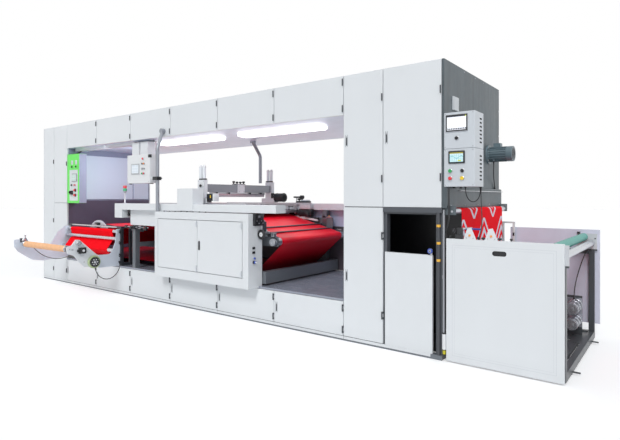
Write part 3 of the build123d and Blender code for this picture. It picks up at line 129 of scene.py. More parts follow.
class Value:
    """A socket of a shader tree, with arithmetic that adds its Math nodes."""

    def __init__(self, tree: "Tree", socket: bpy.types.NodeSocket) -> None:
        """Keep the tree and the socket."""
        self.tree = tree
        self.socket = socket

    def maths(self, operation: str, left: Any, right: Any = 0.0) -> "Value":
        """Add one Math node.

        Args:
            operation: The Math node's operation.
            left: First operand.
            right: Second operand.

        Returns:
            The node's result.
        """
        return self.tree.add("ShaderNodeMath", {0: left, 1: right}, operation=operation)

    def __add__(self, other: Any) -> "Value":
        """Sum with another value."""
        return self.maths("ADD", self, other)

    def __radd__(self, other: Any) -> "Value":
        """Sum with a number on the left."""
        return self.maths("ADD", other, self)

    def __sub__(self, other: Any) -> "Value":
        """Difference from another value."""
        return self.maths("SUBTRACT", self, other)

    def __rsub__(self, other: Any) -> "Value":
        """Difference from a number on the left."""
        return self.maths("SUBTRACT", other, self)

    def __mul__(self, other: Any) -> "Value":
        """Product with another value."""
        return self.maths("MULTIPLY", self, other)

    def __rmul__(self, other: Any) -> "Value":
        """Product with a number on the left."""
        return self.maths("MULTIPLY", other, self)

    def __truediv__(self, other: Any) -> "Value":
        """Quotient by another value."""
        return self.maths("DIVIDE", self, other)

    def over(self, limit: float) -> "Value":
        """One where the value is above the limit, and zero elsewhere."""
        return self.maths("GREATER_THAN", self, limit)

    def under(self, limit: float) -> "Value":
        """One where the value is below the limit, and zero elsewhere."""
        return self.maths("LESS_THAN", self, limit)

    def between(self, low: float, high: float) -> "Value":
        """One where the value lies between two limits, and zero elsewhere."""
        return self.over(low) * self.under(high)

    def fraction(self) -> "Value":
        """The part after the decimal point."""
        return self.maths("FRACT", self)

    def floor(self) -> "Value":
        """The whole number below the value."""
        return self.maths("FLOOR", self)

    def size(self) -> "Value":
        """The value without its sign."""
        return self.maths("ABSOLUTE", self)

    def limited(self) -> "Value":
        """The value held between zero and one."""
        return self.maths("MAXIMUM", self.maths("MINIMUM", self, 1.0), 0)


class Tree:
    """The node tree of one material or of the world."""

    def __init__(self, nodes: bpy.types.NodeTree) -> None:
        """Start from an empty tree."""
        self.nodes = nodes
        nodes.nodes.clear()

    def add(self, kind: str, inputs: dict[Any, Any] | None = None, output: Any = 0,
            stops: Sequence[tuple[float, Colour]] = (), **settings: Any) -> Value:
        """Add one node, with its settings first and its inputs after them.

        Args:
            kind: The node's type.
            inputs: Numbers, colours or values by the name or index of their sockets.
            output: Name or index of the output to return.
            stops: A colour ramp's places and colours.
            **settings: The node's own settings.

        Returns:
            The chosen output, or the node's shader input where it has no output.
        """
        node = self.nodes.nodes.new(kind)
        for name, setting in settings.items():
            setattr(node, name, setting)
        for index, (place, colour) in enumerate(stops):
            ramp = node.color_ramp.elements
            stop = ramp[index] if index < 2 else ramp.new(place)
            stop.position = place
            stop.color = (*colour, 1.0)
        for name, entry in (inputs or {}).items():
            socket = node.inputs[name]
            if isinstance(entry, Value):
                self.nodes.links.new(entry.socket, socket)
            elif isinstance(entry, tuple) and len(socket.default_value) == 4:
                socket.default_value = (*entry, 1.0)
            else:
                socket.default_value = entry
        return Value(self, node.outputs[output] if node.outputs else node.inputs[0])

    def place(self) -> Value:
        """The point on the piece, in metres of the shared frame."""
        return self.add("ShaderNodeTexCoord", output="Object")

    def along(self, axis: Axis) -> Value:
        """One coordinate of the point on the piece."""
        return self.add("ShaderNodeSeparateXYZ", {0: self.place()}, output=axis.value)

    def stretched(self, scale: Point) -> Value:
        """The point on the piece with each coordinate scaled."""
        return self.add("ShaderNodeVectorMath", {0: self.place(), 1: scale}, operation="MULTIPLY")

    def noise(self, vector: Value, scale: float, detail: float = 2.0) -> Value:
        """Soft noise between zero and one.

        Args:
            vector: Where the noise is read.
            scale: Waves per metre.
            detail: Number of finer layers.

        Returns:
            The noise.
        """
        return self.add("ShaderNodeTexNoise", {"Vector": vector, "Scale": scale, "Detail": detail})

    def tinted(self, colour: Any, tone: Any) -> Value:
        """A colour made lighter or darker by a tone near one."""
        return self.add("ShaderNodeVectorMath", {0: colour, "Scale": tone}, operation="SCALE")

    def mixed(self, factor: Any, first: Any, second: Any) -> Value:
        """A blend of two colours."""
        return self.add("ShaderNodeMix", {0: factor, 6: first, 7: second}, output=2, data_type="RGBA")

    def inside(self, low: Point, high: Point) -> Value:
        """One inside a box of the frame, and zero outside it."""
        masks = [self.along(axis).between(low[axis.value], high[axis.value]) for axis in Axis]
        return masks[0] * masks[1] * masks[2]


@dataclass(frozen=True)
class Patch:
    """A box of the frame in which a finish has another colour."""

    low: Point
    high: Point
    colour: Colour
    roughness: float = 0.4
    metallic: float = 0.0


@dataclass(frozen=True)
class Finish:
    """A surface of the machine, with its colour, gloss and relief."""

    name: str
    colour: Colour
    roughness: float = 0.4
    metallic: float = 0.0
    coat: float = 0.0
    relief: float = 0.1
    depth: float = 0.0005
    glow: float = 0.0
    shine: float = 0.5
    patches: tuple[Patch, ...] = ()

    def layers(self, tree: Tree) -> tuple[Value, Value, Value]:
        """Make the layers of a fine-grained moulded surface.

        Args:
            tree: The material's tree.

        Returns:
            The colour, the roughness and the height.
        """
        grain = tree.noise(tree.place(), 900.0, 1.0)
        cloud = tree.noise(tree.place(), 14.0, 3.0)
        colour = tree.tinted(self.colour, 0.94 + 0.12 * cloud)
        return colour, self.roughness + 0.12 * (grain - 0.5), grain

    def material(self) -> bpy.types.Material:
        """Build the material on its first use.

        Returns:
            The material, the same one each time.
        """
        made = bpy.data.materials.get("finish_" + self.name)
        if made:
            return made
        made = bpy.data.materials.new("finish_" + self.name)
        made.use_nodes = True
        tree = Tree(made.node_tree)
        colour, roughness, height = self.layers(tree)
        inputs: dict[Any, Any] = {"Coat Weight": self.coat, "Specular IOR Level": self.shine}
        metallic: Any = self.metallic
        for patch in self.patches:
            mask = tree.inside(patch.low, patch.high)
            tone = 0.93 + 0.14 * tree.noise(tree.place(), 9.0, 3.0)
            colour = tree.mixed(mask, colour, tree.tinted(patch.colour, tone))
            roughness = roughness * (1 - mask) + patch.roughness * mask
            if metallic != patch.metallic:
                metallic = patch.metallic * mask + metallic * (1 - mask)
        inputs |= {"Base Color": colour, "Roughness": roughness, "Metallic": metallic}
        bump = {"Strength": self.relief, "Distance": self.depth, "Height": height}
        inputs["Normal"] = tree.add("ShaderNodeBump", bump)
        if self.glow:
            inputs |= {"Emission Color": colour, "Emission Strength": self.glow}
        shader = tree.add("ShaderNodeBsdfPrincipled", inputs)
        tree.add("ShaderNodeOutputMaterial", {"Surface": shader})
        return made


@dataclass(frozen=True)
class PowderCoat(Finish):
    """Powder-coated sheet with a faint orange peel and dust near the floor."""

    roughness: float = 0.34
    coat: float = 0.12
    relief: float = 0.12
    depth: float = 0.0004

    def layers(self, tree: Tree) -> tuple[Value, Value, Value]:
        """Make the layers of powder coat."""
        peel = tree.noise(tree.place(), 380.0, 2.0)
        cloud = tree.noise(tree.place(), 1.1, 2.0)
        wipe = tree.noise(tree.stretched((5.0, 5.0, 0.9)), 1.0, 4.0)
        dust = ((0.16 - tree.along(Z)) * 6.0).limited() * tree.noise(tree.place(), 7.0, 5.0)
        tone = 0.962 + 0.045 * cloud + 0.03 * wipe - 0.11 * dust
        roughness = self.roughness + 0.16 * (peel - 0.5) + 0.1 * dust + 0.06 * (wipe - 0.5)
        return tree.tinted(self.colour, tone), roughness, peel


@dataclass(frozen=True)
class BrushedMetal(Finish):
    """Metal with fine lines that run round or across one axis."""

    metallic: float = 1.0
    relief: float = 0.14
    depth: float = 0.0002
    across: Axis = Y

    def layers(self, tree: Tree) -> tuple[Value, Value, Value]:
        """Make the layers of brushed or turned metal."""
        scale = tuple(620.0 if axis is self.across else 9.0 for axis in Axis)
        lines = tree.noise(tree.stretched(scale), 1.0, 3.0)
        stain = tree.noise(tree.place(), 4.0, 4.0)
        colour = tree.tinted(self.colour, 0.86 + 0.2 * lines + 0.08 * stain)
        return colour, self.roughness + 0.2 * (lines - 0.5) + 0.12 * (stain - 0.5), lines


@dataclass(frozen=True)
class MottledSheet(Finish):
    """Bare zinc-coated sheet with crystals, clouds and vertical wipe marks."""

    relief: float = 0.1
    depth: float = 0.0005

    def layers(self, tree: Tree) -> tuple[Value, Value, Value]:
        """Make the layers of mottled sheet."""
        cells = {"Vector": tree.stretched((1.0, 1.0, 0.6)), "Scale": 34.0}
        crystals = tree.add("ShaderNodeTexVoronoi", cells, output="Color")
        flake = tree.add("ShaderNodeSeparateXYZ", {0: crystals})
        cloud = tree.noise(tree.place(), 2.6, 5.0)
        wipe = tree.noise(tree.stretched((16.0, 16.0, 1.1)), 1.0, 5.0)
        tone = 0.3 + 0.9 * cloud + 0.14 * flake + 0.7 * (wipe - 0.3)
        roughness = self.roughness + 0.3 * (cloud - 0.5) + 0.1 * (flake - 0.5)
        return tree.tinted(self.colour, tone), roughness, wipe


@dataclass(frozen=True)
class Film(Finish):
    """Printing film under tension, with long soft wrinkles across one axis that also carry painted crease
    shade and highlights.
    """

    relief: float = 0.45
    depth: float = 0.006
    shine: float = 0.28
    across: Axis = Y
    # Painted shade: how much the film darkens towards its bottom.
    painted_shade: float = 0.0

    def motif(self, tree: Tree) -> Value | None:
        """Plain film has no printed motif."""
        return None

    def layers(self, tree: Tree) -> tuple[Value, Value, Value]:
        """Make the layers of stretched film."""
        scale = tuple(7.0 if axis is self.across else 0.9 for axis in Axis)
        wrinkles = tree.noise(tree.stretched(scale), 1.0, 3.0)
        speck = tree.noise(tree.place(), 160.0, 2.0)
        colour: Any = self.colour
        mask = self.motif(tree)
        if mask is not None:
            colour = tree.mixed(mask, self.colour, srgb("dedeec"))
        # The wrinkles lighten and darken the colour: painted crease shade and highlights.
        tone = 0.86 + 0.22 * wrinkles + 0.05 * speck
        # Painted shade: the colour darkens below 0.9 m, where the web's lower run lies in shade.
        if self.painted_shade:
            tone = tone * (1 - self.painted_shade * ((0.9 - tree.along(Z)) * 2.6).limited())
        return tree.tinted(colour, tone), self.roughness + 0.14 * (wrinkles - 0.5), wrinkles


@dataclass(frozen=True)
class PatternedFilm(Film):
    """Film with staggered rows of nested lozenges."""

    pitch: float = 0.56
    row: float = 0.6

    def motif(self, tree: Tree) -> Value:
        """Make the mask of the lozenges' light bands.

        Args:
            tree: The material's tree.

        Returns:
            One on the light bands, and zero elsewhere.
        """
        down = tree.along(Z) / self.row
        shift = (down.floor() / 2).fraction()
        side = ((tree.along(Y) / self.pitch + shift).fraction() - 0.5).size() * 2
        end = (down.fraction() - 0.5).size() * 2
        ring = side + end
        return (ring * 2.6 + 0.1).fraction().over(0.52) * ring.under(1.08)


@dataclass(frozen=True)
class WoundCard(Finish):
    """Wound cardboard with a helical seam and fibres."""

    centre: Point = (0, -1.5, 0.698)
    pitch: float = 0.12

    def layers(self, tree: Tree) -> tuple[Value, Value, Value]:
        """Make the layers of a wound card tube."""
        rise = tree.along(Z) - self.centre[2]
        turn = rise.maths("ARCTAN2", tree.along(Y) - self.centre[1], rise) / (2 * math.pi)
        winding = (tree.along(X) / self.pitch + turn).fraction()
        seam = winding.under(0.03)
        fibre = tree.noise(tree.stretched((60.0, 260.0, 260.0)), 1.0, 4.0)
        tone = 0.86 + 0.2 * fibre + 0.05 * winding - 0.22 * seam
        return tree.tinted(self.colour, tone), self.roughness + 0.1 * (fibre - 0.5), fibre - seam


@dataclass(frozen=True)
class Rubber(Finish):
    """Matt rubber with scuffs round it."""

    roughness: float = 0.62
    relief: float = 0.2
    depth: float = 0.0003
    across: Axis = Y

    def layers(self, tree: Tree) -> tuple[Value, Value, Value]:
        """Make the layers of rubber."""
        scale = tuple(110.0 if axis is self.across else 6.0 for axis in Axis)
        scuff = tree.noise(tree.stretched(scale), 1.0, 4.0)
        grain = tree.noise(tree.place(), 1400.0, 1.0)
        colour = tree.tinted(self.colour, 0.85 + 0.3 * scuff)
        return colour, self.roughness + 0.2 * (scuff - 0.5), grain + 0.4 * scuff


@dataclass(frozen=True)
class Ribbed(Finish):
    """Clear or coloured plastic with moulded ribs along one axis."""

    coat: float = 0.5
    relief: float = 0.5
    depth: float = 0.0015
    across: Axis = Z
    pitch: float = 0.004

    def layers(self, tree: Tree) -> tuple[Value, Value, Value]:
        """Make the layers of ribbed plastic."""
        wave = ((tree.along(self.across) / self.pitch).fraction() - 0.5).size() * 2
        haze = tree.noise(tree.place(), 30.0, 3.0)
        colour = tree.tinted(self.colour, 0.82 + 0.22 * wave + 0.1 * haze)
        return colour, self.roughness + 0.1 * (haze - 0.5), wave


class Layout(Enum):
    """What a display shows."""

    BARE = "bare"
    KEYS = "keys"
    GRID = "grid"


@dataclass(frozen=True)
class Display(Finish):
    """A lit touch screen with a plain layout of bars and fields, and no words."""

    layout: Layout = Layout.BARE
    low: Point = (0, 0, 0)
    high: Point = (1.0, 0, 1.0)
    ink: Colour = srgb("282e3c")
    accent: Colour = srgb("bec828")
    tint: Colour = srgb("96d7d7")
    glow: float = 0.3
    coat: float = 0.1
    relief: float = 0.02

    def layers(self, tree: Tree) -> tuple[Value, Value, Value]:
        """Make the layers of a lit display."""
        across = (tree.along(X) - self.low[0]) / (self.high[0] - self.low[0])
        up = (tree.along(Z) - self.low[2]) / (self.high[2] - self.low[2])
        colour: Any = self.colour
        if self.layout is Layout.KEYS:
            keys = up.under(0.13) * (across * 11).fraction().over(0.3) * up.over(0.03)
            colour = tree.mixed((keys + up.over(0.93)).limited(), colour, self.ink)
            spot = up.between(0.5, 0.62) * across.between(0.46, 0.54)
            colour = tree.mixed(spot * 0.4, colour, self.tint)
            colour = tree.mixed(across.over(0.94) * up.over(0.93), colour, self.accent)
        elif self.layout is Layout.GRID:
            cells = (across * 6).fraction().under(0.14) + (up * 6).fraction().under(0.16)
            colour = tree.mixed(cells.limited() * up.under(0.8) * 0.7, colour, self.tint)
            wave = (up - 0.5 - 0.12 * (across * 9.0).maths("SINE", across * 9.0)).size().under(0.025)
            colour = tree.mixed(wave, colour, self.tint)
            colour = tree.mixed(up.over(0.86), colour, srgb("968c3c"))
            colour = tree.mixed(across.between(0.62, 0.84) * up.between(0.06, 0.2), colour, self.accent)
        else:
            fields = (across * 2).fraction().over(0.16) * (up * 3).fraction().over(0.24)
            colour = tree.mixed(0.4 * fields, colour, self.tint)
        smear = tree.noise(tree.place(), 40.0, 4.0)
        return colour, self.roughness + 0.2 * (smear - 0.5), smear


PANEL_COLOUR = srgb("dee2e5")
DARK_STEEL = srgb("42464c")
JET = srgb("1e1f23")
BARRELS = Patch((-9.0, -0.83, 0), (9.0, -0.7928, 3.0), DARK_STEEL, 0.35, 0.4)

DOOR_PAINT = PowderCoat("door_paint", PANEL_COLOUR, patches=(BARRELS,))
PANEL_PAINT = PowderCoat("panel_paint", PANEL_COLOUR)
FRAME_PAINT = PowderCoat("frame_paint", srgb("767c83"), 0.38, coat=0.1)
DARK_PAINT = PowderCoat("dark_paint", srgb("3e4146"), 0.4, coat=0.1)
BLACK_PAINT = PowderCoat("black_paint", srgb("242529"), 0.38, coat=0.15)
LIGHT_GREY_PAINT = PowderCoat("light_grey_paint", srgb("d0d3d6"), 0.36)
MACHINE_STEEL = BrushedMetal("machine_steel", srgb("c4c7cc"), 0.3)
TURNED_STEEL = BrushedMetal("turned_steel", srgb("cdcfd3"), 0.26, across=X)
ZINC = BrushedMetal("zinc_hardware", srgb("b2b4b8"), 0.34, across=Z)
ALUMINIUM = BrushedMetal("drawn_aluminium", srgb("ced0d5"), 0.36, across=Z)
BLACK_PLASTIC = Finish("black_plastic", JET, 0.38, coat=0.1)
GREY_PLASTIC = Finish("grey_plastic", srgb("a8acb0"), 0.42)
WHITE_PLASTIC = Finish("white_plastic", srgb("e2e5e7"), 0.4)
RED_CAP = Finish("red_cap", srgb("de2834"), 0.3, coat=0.4)
GREEN_CAP = Finish("green_cap", srgb("1ca054"), 0.3, coat=0.4)
YELLOW_CAP = Finish("yellow_cap", srgb("f2cd1e"), 0.3, coat=0.4)
ORANGE_CAP = Finish("orange_cap", srgb("f0963e"), 0.34, coat=0.3)
BLUE_CAP = Finish("blue_cap", srgb("3e58b2"), 0.34, coat=0.3)
CABLE_JACKET = Rubber("cable_jacket", srgb("26272a"), 0.5, across=Z)


class Shape:
    """One piece's mesh, made of bevelled blocks, turned profiles and cut outlines."""

    def __init__(self, name: str, finish: Finish) -> None:
        """Start an empty mesh in one finish.

        Args:
            name: Name of the piece.
            finish: Finish of its first parts.
        """
        self.name = name
        self.mesh = bmesh.new()
        self.done = self.mesh.faces.layers.int.new("done")
        self.finishes: list[Finish] = []
        self.index = 0
        self.use(finish)

    def use(self, finish: Finish) -> "Shape":
        """Give the next parts another finish.

        Args:
            finish: The finish.

        Returns:
            The shape itself.
        """
        if finish not in self.finishes:
            self.finishes.append(finish)
        self.index = self.finishes.index(finish)
        return self

    def _paint(self) -> "Shape":
        """Give the faces made since the last part the current finish.

        Returns:
            The shape itself.
        """
        for face in self.mesh.faces:
            if not face[self.done]:
                face.material_index = self.index
                face[self.done] = 1
        return self

    def block(self, low: Point, high: Point, bevel: float = 0.0015, segments: int = 2) -> "Shape":
        """Add a block with rounded edges.

        Args:
            low: Lowest corner.
            high: Highest corner.
            bevel: Width of the rounding.
            segments: Steps of the rounding.

        Returns:
            The shape itself.
        """
        made = bmesh.ops.create_cube(self.mesh, size=1.0)["verts"]
        spans = [abs(b - a) for a, b in zip(low, high)]
        for vert in made:
            vert.co = Vector([(a + b) / 2 + c * s for a, b, c, s in zip(low, high, vert.co, spans)])
        edges = list({edge for vert in made for edge in vert.link_edges})
        bmesh.ops.bevel(self.mesh, geom=edges, offset=min(bevel, 0.45 * min(spans)), segments=segments,
                        profile=0.5, affect="EDGES", clamp_overlap=True)
        return self._paint()

    def turned(self, profile: Sequence[Pair], base: Point, axis: Axis = Z,
               segments: int = 28, sign: int = 1, aim: Vector | None = None) -> "Shape":
        """Add a turned part.

        Args:
            profile: Radius and height of each ring, from one end to the other.
            base: Point on the axis at height zero.
            axis: Axis of turning.
            segments: Faces round the part.
            sign: Direction in which the heights grow.
            aim: Direction of the axis, where it isn't one of the frame's.

        Returns:
            The shape itself.
        """
        direction = aim.normalized() if aim else Vector([sign * (axis.value == i) for i in range(3)])
        side = direction.orthogonal().normalized()
        other = direction.cross(side)
        rings = []
        for radius, height in profile:
            middle = Vector(base) + direction * height
            if radius <= 0:
                rings.append([self.mesh.verts.new(middle)] * segments)
                continue
            angles = [2 * math.pi * i / segments for i in range(segments)]
            rings.append([self.mesh.verts.new(middle + (side * math.cos(a) + other * math.sin(a)) * radius)
                          for a in angles])
        for lower, upper in zip(rings, rings[1:]):
            for i in range(segments):
                loop = [lower[i], lower[i - 1], upper[i - 1], upper[i]]
                corners = list(dict.fromkeys(loop))
                if len(corners) > 2:
                    self.mesh.faces.new(corners)
        for ring in (rings[0], rings[-1]):
            if len(set(ring)) > 2:
                self.mesh.faces.new(ring)
        return self._paint()

    def cut(self, outline: Sequence[Pair], axis: Axis, start: float, end: float,
            bevel: float = 0.0008) -> "Shape":
        """Add a plate cut to an outline.

        Args:
            outline: Corners in the two axes that follow the plate's own one.
            axis: Axis across the plate.
            start: Where the plate starts on that axis.
            end: Where it ends.
            bevel: Width of the eased edges.

        Returns:
            The shape itself.
        """
        first, second = axis.others()
        corners = []
        for u, v in outline:
            spot = [0.0, 0, 0.0]
            spot[axis.value], spot[first], spot[second] = start, u, v
            corners.append(self.mesh.verts.new(spot))
        face = self.mesh.faces.new(corners)
        pushed = bmesh.ops.extrude_face_region(self.mesh, geom=[face])["geom"]
        moved = [part for part in pushed if isinstance(part, bmesh.types.BMVert)]
        move = Vector([(end - start) * (axis.value == i) for i in range(3)])
        bmesh.ops.translate(self.mesh, verts=moved, vec=move)
        edges = list({edge for vert in corners + moved for edge in vert.link_edges})
        bmesh.ops.bevel(self.mesh, geom=edges, offset=bevel, segments=1, affect="EDGES", clamp_overlap=True)
        return self._paint()

    def screw(self, place: Point, axis: Axis, sign: int, radius: float = 0.005) -> "Shape":
        """Add a domed screw head with its socket.

        Args:
            place: Point on the surface under the head.
            axis: Axis of the screw.
            sign: Side to which the head points.
            radius: Radius of the head.

        Returns:
            The shape itself.
        """
        shares = ((1, 0), (1, 0.45), (0.86, 0.75), (0.5, 0.85), (0.45, 0.4), (0, 0.4))
        profile = [(radius * width, radius * height) for width, height in shares]
        return self.turned(profile, place, axis, 12, sign)

    def boss(self, place: Point, axis: Axis, sign: int, radius: float, height: float,
             ease: Pair = (0.002, 0.002), segments: int = 20) -> "Shape":
        """Add a round boss with an eased end.

        Args:
            place: Point on the surface under the boss.
            axis: Axis of the boss.
            sign: Side to which it points.
            radius: Radius of the boss.
            height: Height above the surface.
            ease: What the end's edge loses inward and downward.
            segments: Faces round the boss.

        Returns:
            The shape itself.
        """
        inward, down = ease
        profile = [(radius, 0), (radius, height - down), (radius - inward, height), (0, height)]
        return self.turned(profile, place, axis, segments, sign)

    def band(self, place: Point, axis: Axis, sign: int, radii: Pair, height: float,
             ease: float = 0.001, segments: int = 36) -> "Shape":
        """Add a band with eased edges round something.

        Args:
            place: Point on the axis where the band starts.
            axis: Axis of the band.
            sign: Side to which it runs.
            radii: Inner and outer radius.
            height: Length along the axis.
            ease: Height of each eased edge.
            segments: Faces round the band.

        Returns:
            The shape itself.
        """
        inner, outer = radii
        profile = [(inner, 0), (outer, ease), (outer, height - ease), (inner, height)]
        return self.turned(profile, place, axis, segments, sign)

    def knob(self, place: Point, axis: Axis, sign: int, radius: float, height: float) -> "Shape":
        """Add a fluted hand knob.

        Args:
            place: Point on the surface under the knob.
            axis: Axis of the knob.
            sign: Side to which it points.
            radius: Radius of the knob.
            height: Height above the surface.

        Returns:
            The shape itself.
        """
        shares = ((0.45, 0), (0.45, 0.3), (0.9, 0.34), (1, 0.45), (1, 0.85), (0.85, 1), (0.3, 1), (0.2, 0.93),
                  (0, 0.93))
        self.turned([(radius * width, height * rise) for width, rise in shares], place, axis, 18, sign)
        flute = [(0.14 * radius, 0.46 * height), (0.14 * radius, 0.84 * height)]
        for spot in around(place, axis, radius, 7):
            self.turned(flute, spot, axis, 8, sign)
        return self

    def piece(self, slot: Slot, body: str = "housing", replaces: Sequence[str] = ()) -> bpy.types.Object:
        """Finish the mesh and add the piece to the scene.

        Args:
            slot: The record's slot for its finish; not used.
            body: The CAD body that it rides on.
            replaces: CAD nodes that it stands for.

        Returns:
            The piece.
        """
        bmesh.ops.recalc_face_normals(self.mesh, faces=self.mesh.faces)
        data = bpy.data.meshes.new(self.name)
        self.mesh.to_mesh(data)
        self.mesh.free()
        for finish in self.finishes:
            data.materials.append(finish.material())
        data.shade_smooth()
        data.set_sharp_from_angle(angle=math.radians(38))
        made = bpy.data.objects.new(self.name, data)
        bpy.context.scene.collection.objects.link(made)
        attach(made, body)
        if replaces:
            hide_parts(*replaces)
        LOG.info("piece %s: %d faces on %s", self.name, len(data.polygons), body)
        return made


@dataclass
class SubAssembly(ABC):
    """A group of the machine's pieces that is finished and built together."""

    nodes: dict[str, bpy.types.Object]

    def dress(self, finish: Finish, *names: str) -> None:
        """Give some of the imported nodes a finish.

        Args:
            finish: The finish.
            *names: The nodes' names.
        """
        for name in names:
            for slot in self.nodes[name].material_slots:
                slot.material = finish.material()
            LOG.info("node %s: %s", name, finish.name)

    @abstractmethod
    def finish_nodes(self) -> None:
        """Give the group's nodes their finishes."""

    @abstractmethod
    def build(self) -> None:
        """Make the group's own pieces."""


@dataclass
class Studio:
    """Camera, lamps, world and floor."""

    eye: Point = (5.228, -4.823, 1.395)
    heading: float = 37.12
    lens: float = 28.614
    shift: float = -0.0363
    reach: float = 200.0
    sky: float = 0.5
    sun: float = 1.5
    side_share: float = 0.35
    inner_tint: Colour = (0.8, 0.9, 1.0)
    floor_half: float = 60.0
    floor_drop: float = 0.001
    floor_lift: Colour = (0.3, 0.3, 0.3)

    def build(self) -> None:
        """Make the camera, the lamps, the world and the floor."""
        self._camera()
        self._world()
        self._lamps()
        self._floor()

    def _camera(self) -> None:
        """Place the camera where the photographer stood."""
        data = bpy.data.cameras.new("camera")
        data.lens = self.lens
        data.sensor_width = 36.0
        data.shift_y = self.shift
        data.clip_end = self.reach
        camera = bpy.data.objects.new("camera", data)
        camera.location = self.eye
        camera.rotation_euler = (math.pi / 2, 0, math.radians(self.heading))
        bpy.context.scene.collection.objects.link(camera)
        bpy.context.scene.camera = camera

    def _seen(self, tree: Tree) -> Value:
        """Tell the rays that show the background from those that light the object.

        Args:
            tree: The tree of the background's material.

        Returns:
            One for the rays that show it, and zero for the others.
        """
        rays = [tree.add("ShaderNodeLightPath", output=name)
                for name in ("Is Camera Ray", "Is Glossy Ray", "Is Transmission Ray")]
        return (rays[0] + rays[1] + rays[2]).limited()

    def _world(self) -> None:
        """Light the object softly from all round, in front of a white background."""
        world = bpy.data.worlds.new("studio")
        world.use_nodes = True
        bpy.context.scene.world = world
        tree = Tree(world.node_tree)
        dome = (self.sky * 0.985, self.sky, self.sky * 1.02)
        colour = tree.mixed(self._seen(tree), dome, (1.0, 1.0, 1.0))
        tree.add("ShaderNodeOutputWorld", {"Surface": tree.add("ShaderNodeBackground", {"Color": colour})})

    def _lamp(self, name: str, kind: str, energy: float, aim: Point) -> bpy.types.Object:
        """Add one lamp.

        Args:
            name: The lamp's name.
            kind: Blender's name for its type.
            energy: Its strength.
            aim: Direction in which it shines.

        Returns:
            The lamp.
        """
        data = bpy.data.lights.new(name, kind)
        data.energy = energy
        lamp = bpy.data.objects.new(name, data)
        lamp.rotation_euler = Vector(aim).to_track_quat("-Z", "Y").to_euler()
        bpy.context.scene.collection.objects.link(lamp)
        return lamp

    def _lamps(self) -> None:
        """Add the soft suns from outside and the bluish lamps inside the two halves of the opening."""
        key = self._lamp("key", "SUN", self.sun, (-0.22, 0.72, -0.66))
        key.data.angle = math.radians(20)
        side = self._lamp("side", "SUN", self.side_share * self.sun, (-0.86, 0.2, -0.46))
        side.data.angle = math.radians(50)
        for place, aim, power, size in (((-1.75, -0.35, 2.1), (-0.75, 0.1, -0.65), 14.0, 0.7),
                                        ((1.7, -0.1, 2.1), (0.15, 0.25, -0.95), 7.0, 0.9)):
            lamp = self._lamp("inner", "AREA", power, aim)
            lamp.data.size = size
            lamp.data.color = self.inner_tint
            lamp.location = place
            lamp.visible_camera = False
            lamp.visible_glossy = False

    def _floor(self) -> None:
        """Lay a plain pale floor that keeps the machine's shadow."""
        data = bpy.data.meshes.new("studio_floor")
        grid = bmesh.new()
        bmesh.ops.create_grid(grid, x_segments=8, y_segments=8, size=self.floor_half)
        grid.to_mesh(data)
        grid.free()
        floor = bpy.data.objects.new("studio_floor", data)
        floor.location.z = -self.floor_drop
        bpy.context.scene.collection.objects.link(floor)
        material = bpy.data.materials.new("studio_floor")
        material.use_nodes = True
        tree = Tree(material.node_tree)
        pale = tree.tinted(srgb("e8e9eb"), 0.98 + 0.02 * tree.noise(tree.place(), 3.0, 3.0))
        paint = tree.add("ShaderNodeBsdfDiffuse", {"Color": pale})
        lift = tree.mixed(self._seen(tree), (0, 0, 0), self.floor_lift)
        glow = tree.add("ShaderNodeEmission", {"Color": lift})
        both = tree.add("ShaderNodeAddShader", {0: paint, 1: glow})
        tree.add("ShaderNodeOutputMaterial", {"Surface": both})
        data.materials.append(material)


@dataclass
class Cable:
    """One free cable, as the control points of its line in metres."""

    node: str
    route: Sequence[Point]
    radius: float
    length: float
    sleeve: float = 0.034
    ribs: int = 4

    def build(self) -> bpy.types.Object:
        """Make the cable's curve with the tapered sleeves at its two ends.

        Returns:
            The cable.
        """
        curve = bpy.data.curves.new(self.node + "_line", "CURVE")
        curve.dimensions = "3D"
        spline = curve.splines.new("NURBS")
        spline.points.add(len(self.route) - 1)
        for point, place in zip(spline.points, self.route):
            point.co = (*place, 1.0)
        spline.order_u = 3
        spline.use_endpoint_u = True
        curve.resolution_u = 10
        curve.bevel_depth = self.radius
        curve.bevel_resolution = 4
        curve.use_fill_caps = True
        curve.materials.append(CABLE_JACKET.material())
        made = bpy.data.objects.new(self.node + "_line", curve)
        bpy.context.scene.collection.objects.link(made)
        sleeves = [self._sleeve("start", self.route[0], self.route[1]),
                   self._sleeve("end", self.route[-1], self.route[-2])]
        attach(made, "housing")
        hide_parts(self.node)
        LOG.info("cable %s: %.3f m", self.node, self.length)
        return made

    def _sleeve(self, end: str, start: Point, towards: Point) -> bpy.types.Object:
        """Make the tapered sleeve where the cable leaves its housing.

        Args:
            end: Which end of the cable it is.
            start: Where the cable leaves.
            towards: A point farther along the cable.

        Returns:
            The sleeve.
        """
        r = self.radius
        flange = 0.011
        profile = [(2.0 * r, 0.0005), (2.1 * r, 0.004), (2.1 * r, 0.009), (1.6 * r, flange)]
        for rib in range(self.ribs):
            height, width = flange + 0.005 * rib, (1.55 - 0.1 * rib) * r
            neck = width - 0.15 * r
            profile += [(width, height + 0.0035), (neck, height + 0.004), (neck, height + 0.005)]
        profile.append((1.04 * r, self.sleeve))
        shape = Shape(f"{self.node}_sleeve_{end}", BLACK_PLASTIC)
        shape.turned(profile, start, segments=20, aim=Vector(towards) - Vector(start))
        return shape.piece(Slot.RUBBER)


